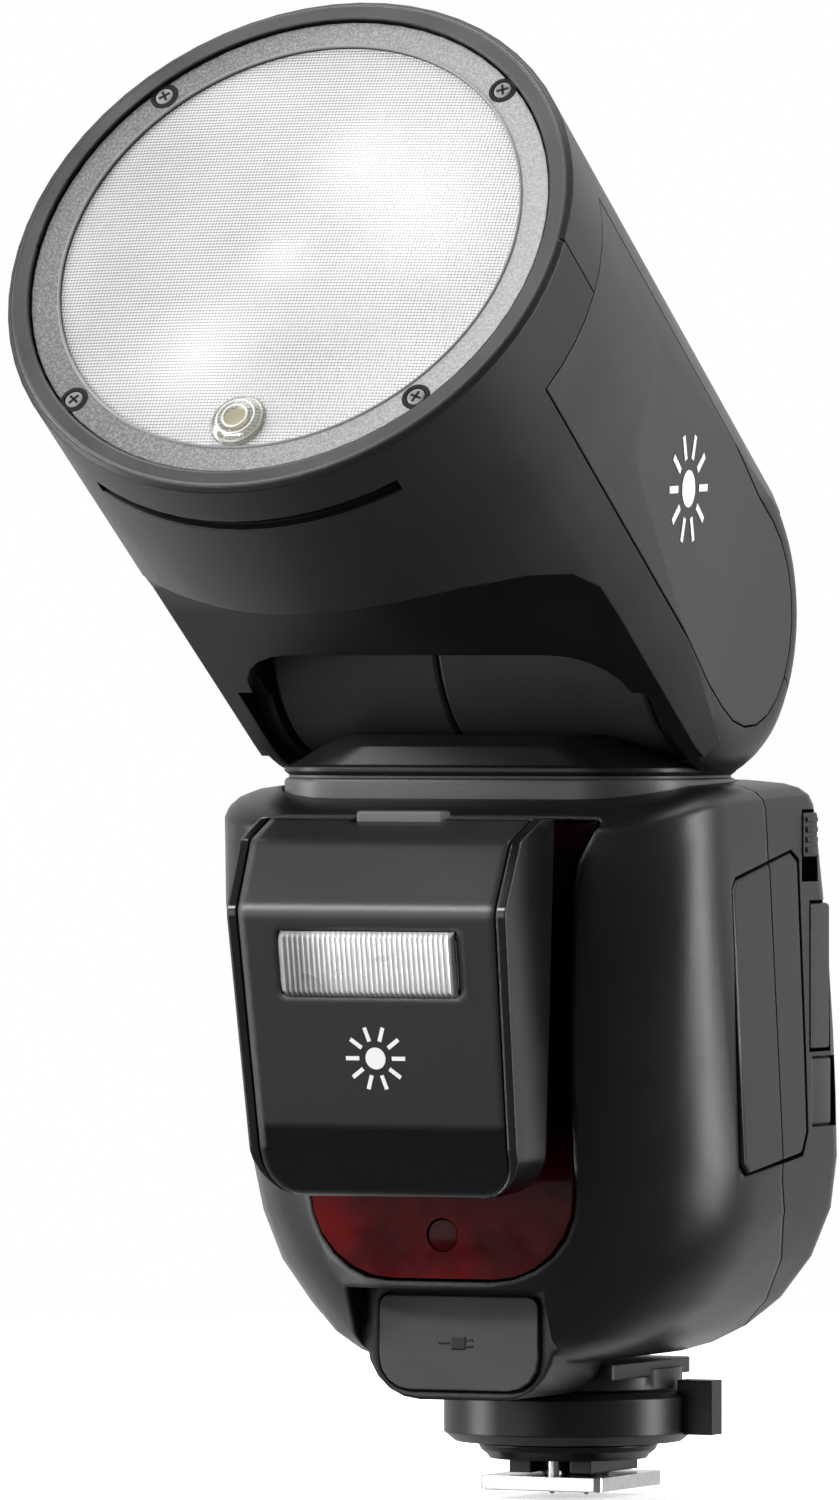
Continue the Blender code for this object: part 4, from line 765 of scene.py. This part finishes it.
cover_lean = math.atan2(cover_at(win_low.z).y - cover_at(win_high.z).y, win_high.z - win_low.z)
WINDOW = Matrix.Translation((win_centre.x, cover_at(win_centre.z).y, win_centre.z)) @ FRONTWARD
WINDOW = WINDOW @ Matrix.Rotation(cover_lean, 4, "X")
rib_vertices = []
for column in range(COLUMNS + 1):
    x = -half_w + 2 * half_w * column / COLUMNS
    rib = RIB_DEPTH * math.cos(2 * math.pi * RIBS * column / COLUMNS)
    side_fall = EDGE_FALL * max(0.0, (abs(x) - half_w + EDGE_WIDTH) / EDGE_WIDTH) ** 2
    for share in ROW_SHARES:
        end_fall = EDGE_FALL if abs(share) == 1 else 0.0
        rib_vertices.append((x, half_h * share, rib - side_fall - end_fall - 0.2 * MM))
rib_faces = []
rows = len(ROW_SHARES)
for column in range(COLUMNS):
    for row in range(rows - 1):
        first = column * rows + row
        rib_faces.append((first, first + rows, first + rows + 1, first + 1))
rib_mesh = mesh_from(rib_vertices, rib_faces, "sub_window_ribbed")
window = placed("sub_window_ribbed", rib_mesh, RIBBED, "sub_flash", WINDOW, smooth=60.0)
window_depth = window.modifiers.new("depth", "SOLIDIFY")
window_depth.thickness = 0.9 * MM
window_depth.offset = -1.0
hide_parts("sub_flash_window")


FRAME_LINE = moulded("window_frame_line", (0.10, 0.10, 0.102), 0.24, edge=0.12 * MM, specular=0.6)
framed(
    "sub_window_frame", rounded_rectangle(half_w + 0.3 * MM, half_h + 0.25 * MM, 1.4 * MM),
    rounded_rectangle(half_w - 0.15 * MM, half_h - 0.15 * MM, 1.1 * MM),
    -0.5 * MM, 0.12 * MM, FRAME_LINE, "sub_flash", WINDOW,
)
framed(
    "sub_window_inner_frame", rounded_rectangle(half_w - 0.75 * MM, half_h - 0.75 * MM, 0.7 * MM),
    rounded_rectangle(half_w - 0.95 * MM, half_h - 0.95 * MM, 0.6 * MM),
    -0.3 * MM, 0.06 * MM, FRAME_LINE, "sub_flash", WINDOW,
)


# ---------------------------------------------------------------- neck: seal, and painted-shadow rings in the drum's gaps

SEAL = moulded("neck_seal_rubber", (0.055, 0.055, 0.056), 0.5, depth=0.0, edge=0.05 * MM)
plate_low, plate_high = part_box("neck_base_plate")
seal_half = (plate_high - plate_low) / 2
SEAL_PLACE = Matrix.Translation((0, (plate_low.y + plate_high.y) / 2, plate_high.z))
framed(
    "neck_seal", rounded_rectangle(seal_half.x - 0.75 * MM, seal_half.y - 0.75 * MM, 11 * MM),
    rounded_rectangle(seal_half.x - 3 * MM, seal_half.y - 3 * MM, 9 * MM),
    0.03 * MM, 0.37 * MM, SEAL, "body", SEAL_PLACE,
)

drum_low, drum_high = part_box("neck_drum_left")
drum_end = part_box("neck_drum_right")[1].x
drum_radius = (drum_high.z - drum_low.z) / 2
seam_middle = (drum_high.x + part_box("neck_drum_right")[0].x) / 2
axle_radius = (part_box("tilt_axle")[1].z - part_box("tilt_axle")[0].z) / 2
SHADOW_RING_GAP = 0.17 * MM
# Painted shadow: thin black rings fill the drum's gaps.
for label, across in (
    ("left", drum_low.x - SHADOW_RING_GAP), ("seam", seam_middle), ("right", drum_end + SHADOW_RING_GAP)
):
    turned(
        f"drum_gap_shadow_{label}",
        [
            (drum_radius - 0.6 * MM, -0.1 * MM), (drum_radius - 0.6 * MM, 0.1 * MM),
            (axle_radius + 0.4 * MM, 0.1 * MM), (axle_radius + 0.4 * MM, -0.1 * MM),
        ],
        SHADOW_BLACK, BODY_OF["neck_drum_left"],
        Matrix.Translation((across, PIVOT.y, PIVOT.z)) @ Matrix.Rotation(math.radians(90), 4, "Y"),
        steps=96, closed=True,
    )


# ---------------------------------------------------------------- body: switch slot, latch and finger notch

switch_low, switch_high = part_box("power_switch")
switch_middle = (switch_low + switch_high) / 2
slot_centre = (switch_middle.x, switch_low.y - 0.5 * MM, switch_middle.z)
# Painted shadow: a black sheet behind the switch's slot.
blocks(
    "switch_slot_shadow", [(slot_centre, (13 * MM, 0.3 * MM, 5 * MM), 0.0, 0.0)],
    SHADOW_BLACK, "body", UPRIGHT,
)

# Centres and sizes below are read off the CAD: the pocket behind the latch, and the notch under it.
LATCH_RIBS = (-2.1, -0.7, 0.7, 2.1)  # heights from the latch's middle, in millimetres
POCKET_MIDDLE = (-2.0 * MM, 89.8 * MM)  # y and z
POCKET_SIZE = (0.5 * MM, 5.6 * MM, 9.8 * MM)
NOTCH_CENTRE = (36.2 * MM, 2.6 * MM, 55.7 * MM)
NOTCH_SIZE = (1.2 * MM, 7.2 * MM, 9.4 * MM)
latch_low, latch_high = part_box("battery_latch")
latch_middle = (latch_low + latch_high) / 2
blocks(
    "battery_latch_ribs",
    [
        (
            (latch_high.x - 0.05 * MM, latch_middle.y, latch_middle.z + rise * MM),
            (0.7 * MM, 3.8 * MM, 0.8 * MM), 0.0, 0.2 * MM,
        )
        for rise in LATCH_RIBS
    ],
    BODY, "battery_latch", UPRIGHT,
)
blocks(
    "latch_pocket_floor", [((latch_low.x - 0.6 * MM, *POCKET_MIDDLE), POCKET_SIZE, 0.0, 0.0)],
    PANEL, "body", UPRIGHT,
)
blocks(
    "finger_notch_pad", [(NOTCH_CENTRE, NOTCH_SIZE, 0.0, 0.5 * MM)],
    PANEL, "body", UPRIGHT,
)


# ---------------------------------------------------------------- front and side marks, and the sensor

ALONG_X = Vector((1, 0, 0))
INWARD = Vector((0, 1, 0))  # from the front into the body
UPWARD = Vector((0, 0, 1))
COVER_SYMBOL = 4.4 * MM
PANEL_SYMBOL = 7.5 * MM

cover_low, cover_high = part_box("sub_flash_cover")
mark_height = cover_low.z + 0.37 * (cover_high.z - cover_low.z)
laid_on(
    "cover_light_symbol", burst(COVER_SYMBOL), Vector((0, cover_low.y, mark_height)),
    ALONG_X, UPWARD, INWARD, "sub_flash_cover", PRINT, "sub_flash",
)
sensor_low, sensor_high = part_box("af_sensor_lens")
sensor_radius = (sensor_high.x - sensor_low.x) / 2
sensor_height = (sensor_low.z + sensor_high.z) / 2
window_face = surface_of("af_window").ray_cast(Vector((sensor_radius + MM, -0.1, sensor_height)), INWARD)[0]
sensor = turned(
    "af_sensor_disc",
    [
        (sensor_radius, -1.8 * MM), (sensor_radius + 0.2 * MM, -0.25 * MM), (sensor_radius, -0.2 * MM),
        (TIP, -0.2 * MM),
    ],
    SENSOR, "body", Matrix.Translation((0, window_face.y, sensor_height)) @ FRONTWARD,
    steps=40,
)
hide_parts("af_sensor_lens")

# The plug symbol's shapes, in millimetres from its middle.
PLUG_BODY = [(-1.1, -0.9), (1.1, -0.9), (1.1, 0.9), (-1.1, 0.9)]
PLUG_CORD = [(-3.0, -0.16), (-1.1, -0.16), (-1.1, 0.16), (-3.0, 0.16)]
plug_shapes = [PLUG_BODY, PLUG_CORD]
for rise in (0.3, -0.6):
    plug_shapes.append([(1.1, rise), (2.2, rise), (2.2, rise + 0.3), (1.1, rise + 0.3)])
flap_low, flap_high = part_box("power_port_flap")
laid_on(
    "port_flap_plug_symbol", [[(u * MM, v * MM) for u, v in shape] for shape in plug_shapes],
    Vector((0, flap_low.y, (flap_low.z + flap_high.z) / 2)), ALONG_X, UPWARD, INWARD,
    "power_port_flap", BODY, "power_port_flap", proud=0.08 * MM,
)

for side, panel in ((1, "side_panel_right"), (-1, "side_panel_left")):
    panel_low, panel_high = node_box(panel, HEAD)
    face_x = panel_high.x if side > 0 else panel_low.x
    middle = HEAD @ Vector((face_x, (panel_low.y + panel_high.y) / 2, 0))
    forward = (HEAD.to_3x3() @ Vector((0, -side, 0))).normalized()
    rise = (HEAD.to_3x3() @ UPWARD).normalized()
    laid_on(
        f"{panel}_symbol", burst(PANEL_SYMBOL), middle, forward, rise, Vector((-side, 0, 0)),
        panel, PRINT, "head",
    )


# ---------------------------------------------------------------- rear: display segments and key marks


def rear_mark(name, node, shapes, look, body):
    """Lays small printed shapes, in millimetres, on the middle of a rear node's face."""
    low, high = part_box(node)
    middle = (low + high) / 2
    return laid_on(
        name, [[(u * MM, v * MM) for u, v in shape] for shape in shapes],
        Vector((middle.x, high.y, middle.z)), -ALONG_X, UPWARD, -INWARD, node, look, body,
    )


def bar(left, low, width, height):
    """An upright rectangle's corners."""
    return [(left, low), (left + width, low), (left + width, low + height), (left, low + height)]


DISPLAY_INK = moulded("display_segments", (0.30, 0.34, 0.36), 0.3, depth=0.0, edge=0.01 * MM)
KEY_INK = moulded("key_ink", (0.62, 0.62, 0.62), 0.5, depth=0.0, edge=0.01 * MM)
level_bars = [
    bar(-14 + 2.6 * step, -8.5 + 1.2 * cell, 1.7, 0.9) for step in range(9) for cell in range(1 + step)
]
battery_mark = [
    bar(12, 7, 3.4, 0.25), bar(12, 8.6, 3.4, 0.25), bar(12, 7, 0.25, 1.85), bar(15.4, 7, 0.25, 1.85)
]
battery_mark += [bar(12.5 + step, 7.45, 0.7, 0.95) for step in range(3)]
divider = [bar(-15.5 + step, height, 0.8, 0.16) for step in range(31) for height in (5.0, -9.8)]
zoom_mark = [bar(-15, 6.6, 0.9, 2.4), bar(-13.4, 7.2, 0.9, 1.8), bar(-11.8, 7.8, 0.9, 1.2)]
display = level_bars + battery_mark + divider + zoom_mark
rear_mark("display_segments", "lcd_window", display, DISPLAY_INK, "body")
key_marks = [
    (f"soft_key_{key}_mark", f"soft_key_{key}", [bar(-0.9, -0.12, 1.8, 0.24)]) for key in range(1, 5)
]
key_marks += [
    ("menu_mark", "menu_button", [bar(-0.9, 0.55 - 0.55 * row, 1.8, 0.2) for row in range(3)]),
    ("mode_mark", "mode_button", [bar(-0.8, -0.8, 0.6, 1.6), bar(0.2, -0.8, 0.6, 1.6)]),
    ("test_mark", "test_button", burst(1.1)),
]
for mark_name, button, mark_shapes in key_marks:
    rear_mark(mark_name, button, mark_shapes, KEY_INK, BODY_OF[button])


# ---------------------------------------------------------------- stage, light and camera


def floor():
    """A pale glowing disc that the object's own surfaces don't see."""
    work = bmesh.new()
    bmesh.ops.create_circle(work, cap_ends=True, radius=0.55, segments=96)
    mesh = bpy.data.meshes.new("floor")
    work.to_mesh(mesh)
    work.free()
    look = Shader("pale_floor", (0.85, 0.85, 0.85), 0.7, specular=0.2)
    look.set("Emission Color", (1.0, 1.0, 1.0, 1.0))
    look.set("Emission Strength", 0.55)
    look.vary_roughness(look.ranged(look.noise(0.05, 2.0), 0.62, 0.78))
    obj = bpy.data.objects.new("floor", mesh)
    obj.location.z = cad_bounds[0][2] - 0.3 * MM
    obj.visible_glossy = False
    obj.visible_diffuse = False
    mesh.materials.append(look.material)
    bpy.context.scene.collection.objects.link(obj)


def softbox(name, location, target, size, radiance):
    """A rectangular soft light; radiance is how bright its face is."""
    light = bpy.data.lights.new(name, "AREA")
    light.shape = "RECTANGLE"
    light.size, light.size_y = size
    light.energy = radiance * math.pi * size[0] * size[1]
    obj = bpy.data.objects.new(name, light)
    obj.location = location
    obj.rotation_euler = (Vector(target) - Vector(location)).to_track_quat("-Z", "Y").to_euler()
    bpy.context.scene.collection.objects.link(obj)


floor()
ROOM_LIGHT = 0.22  # how bright the dim room in front of the object is
WALL_LIGHT = 0.85  # and the pale wall behind it
VIEW_SIDE = math.radians(24.43)  # the camera stands this far round from straight in front, towards +X
TO_CAMERA = Vector((math.sin(VIEW_SIDE), -math.cos(VIEW_SIDE), 0))
RIGHT = Vector((math.cos(VIEW_SIDE), math.sin(VIEW_SIDE), 0))
MIDDLE = Vector((0, -0.03, 0.10))


def around(right, towards, height):
    """A place by how far it lies right of the object, towards the camera and up."""
    return MIDDLE + RIGHT * right + TO_CAMERA * towards + Vector((0, 0, height))


softbox("right_strip", around(1.14, 0.10, 0.12), MIDDLE, (0.34, 1.4), 14.0)
softbox("left_strip", around(-1.15, -0.03, 0.12), MIDDLE, (0.34, 1.4), 12.0)
softbox("left_fill", around(-1.05, 0.95, 0.06), MIDDLE, (0.9, 0.6), 2.4)
softbox("ridge_light", around(-0.86, 0.78, 0.62), MIDDLE, (0.8, 0.20), 24.0)
softbox("top", around(0.0, -0.25, 1.2), MIDDLE, (1.2, 0.8), 5.0)

world = bpy.data.worlds.new("studio")
bpy.context.scene.world = world
world.use_nodes = True
surround = world.node_tree.nodes["Background"]
surround.inputs["Color"].default_value = (1.0, 1.0, 1.0, 1.0)


def world_node(kind, **settings):
    node = world.node_tree.nodes.new(kind)
    for key, value in settings.items():
        setattr(node, key, value)
    return node


# The wall behind the object is bright, the room in front of it is dim, and the background itself is white.
direction = world_node("ShaderNodeTexCoord")
facing = world_node("ShaderNodeVectorMath", operation="DOT_PRODUCT")
facing.inputs[1].default_value = -TO_CAMERA
wall = world_node("ShaderNodeMapRange", interpolation_type="SMOOTHSTEP")
wall.inputs["From Min"].default_value = -0.05
wall.inputs["From Max"].default_value = 0.75
wall.inputs["To Min"].default_value = ROOM_LIGHT
wall.inputs["To Max"].default_value = WALL_LIGHT
ray = world_node("ShaderNodeLightPath")
shown = world_node("ShaderNodeMath", operation="MAXIMUM")
for output, target in (
    (direction.outputs["Generated"], facing.inputs[0]),
    (facing.outputs["Value"], wall.inputs["Value"]),
    (wall.outputs["Result"], shown.inputs[0]),
    (ray.outputs["Is Camera Ray"], shown.inputs[1]),
    (shown.outputs[0], surround.inputs["Strength"]),
):
    world.node_tree.links.new(output, target)
bpy.context.scene.view_settings.view_transform = "Standard"

CAMERA_PLACE = (0.789023, -1.787959, 0.115170)
CAMERA_DIP = 0.36  # degrees below level
camera_data = bpy.data.cameras.new("camera")
camera_data.lens = 336
camera_data.sensor_width = 36
camera = bpy.data.objects.new("camera", camera_data)
camera.location = CAMERA_PLACE
camera.rotation_euler = (math.radians(90 - CAMERA_DIP), 0, VIEW_SIDE)
bpy.context.scene.collection.objects.link(camera)
bpy.context.scene.camera = camera
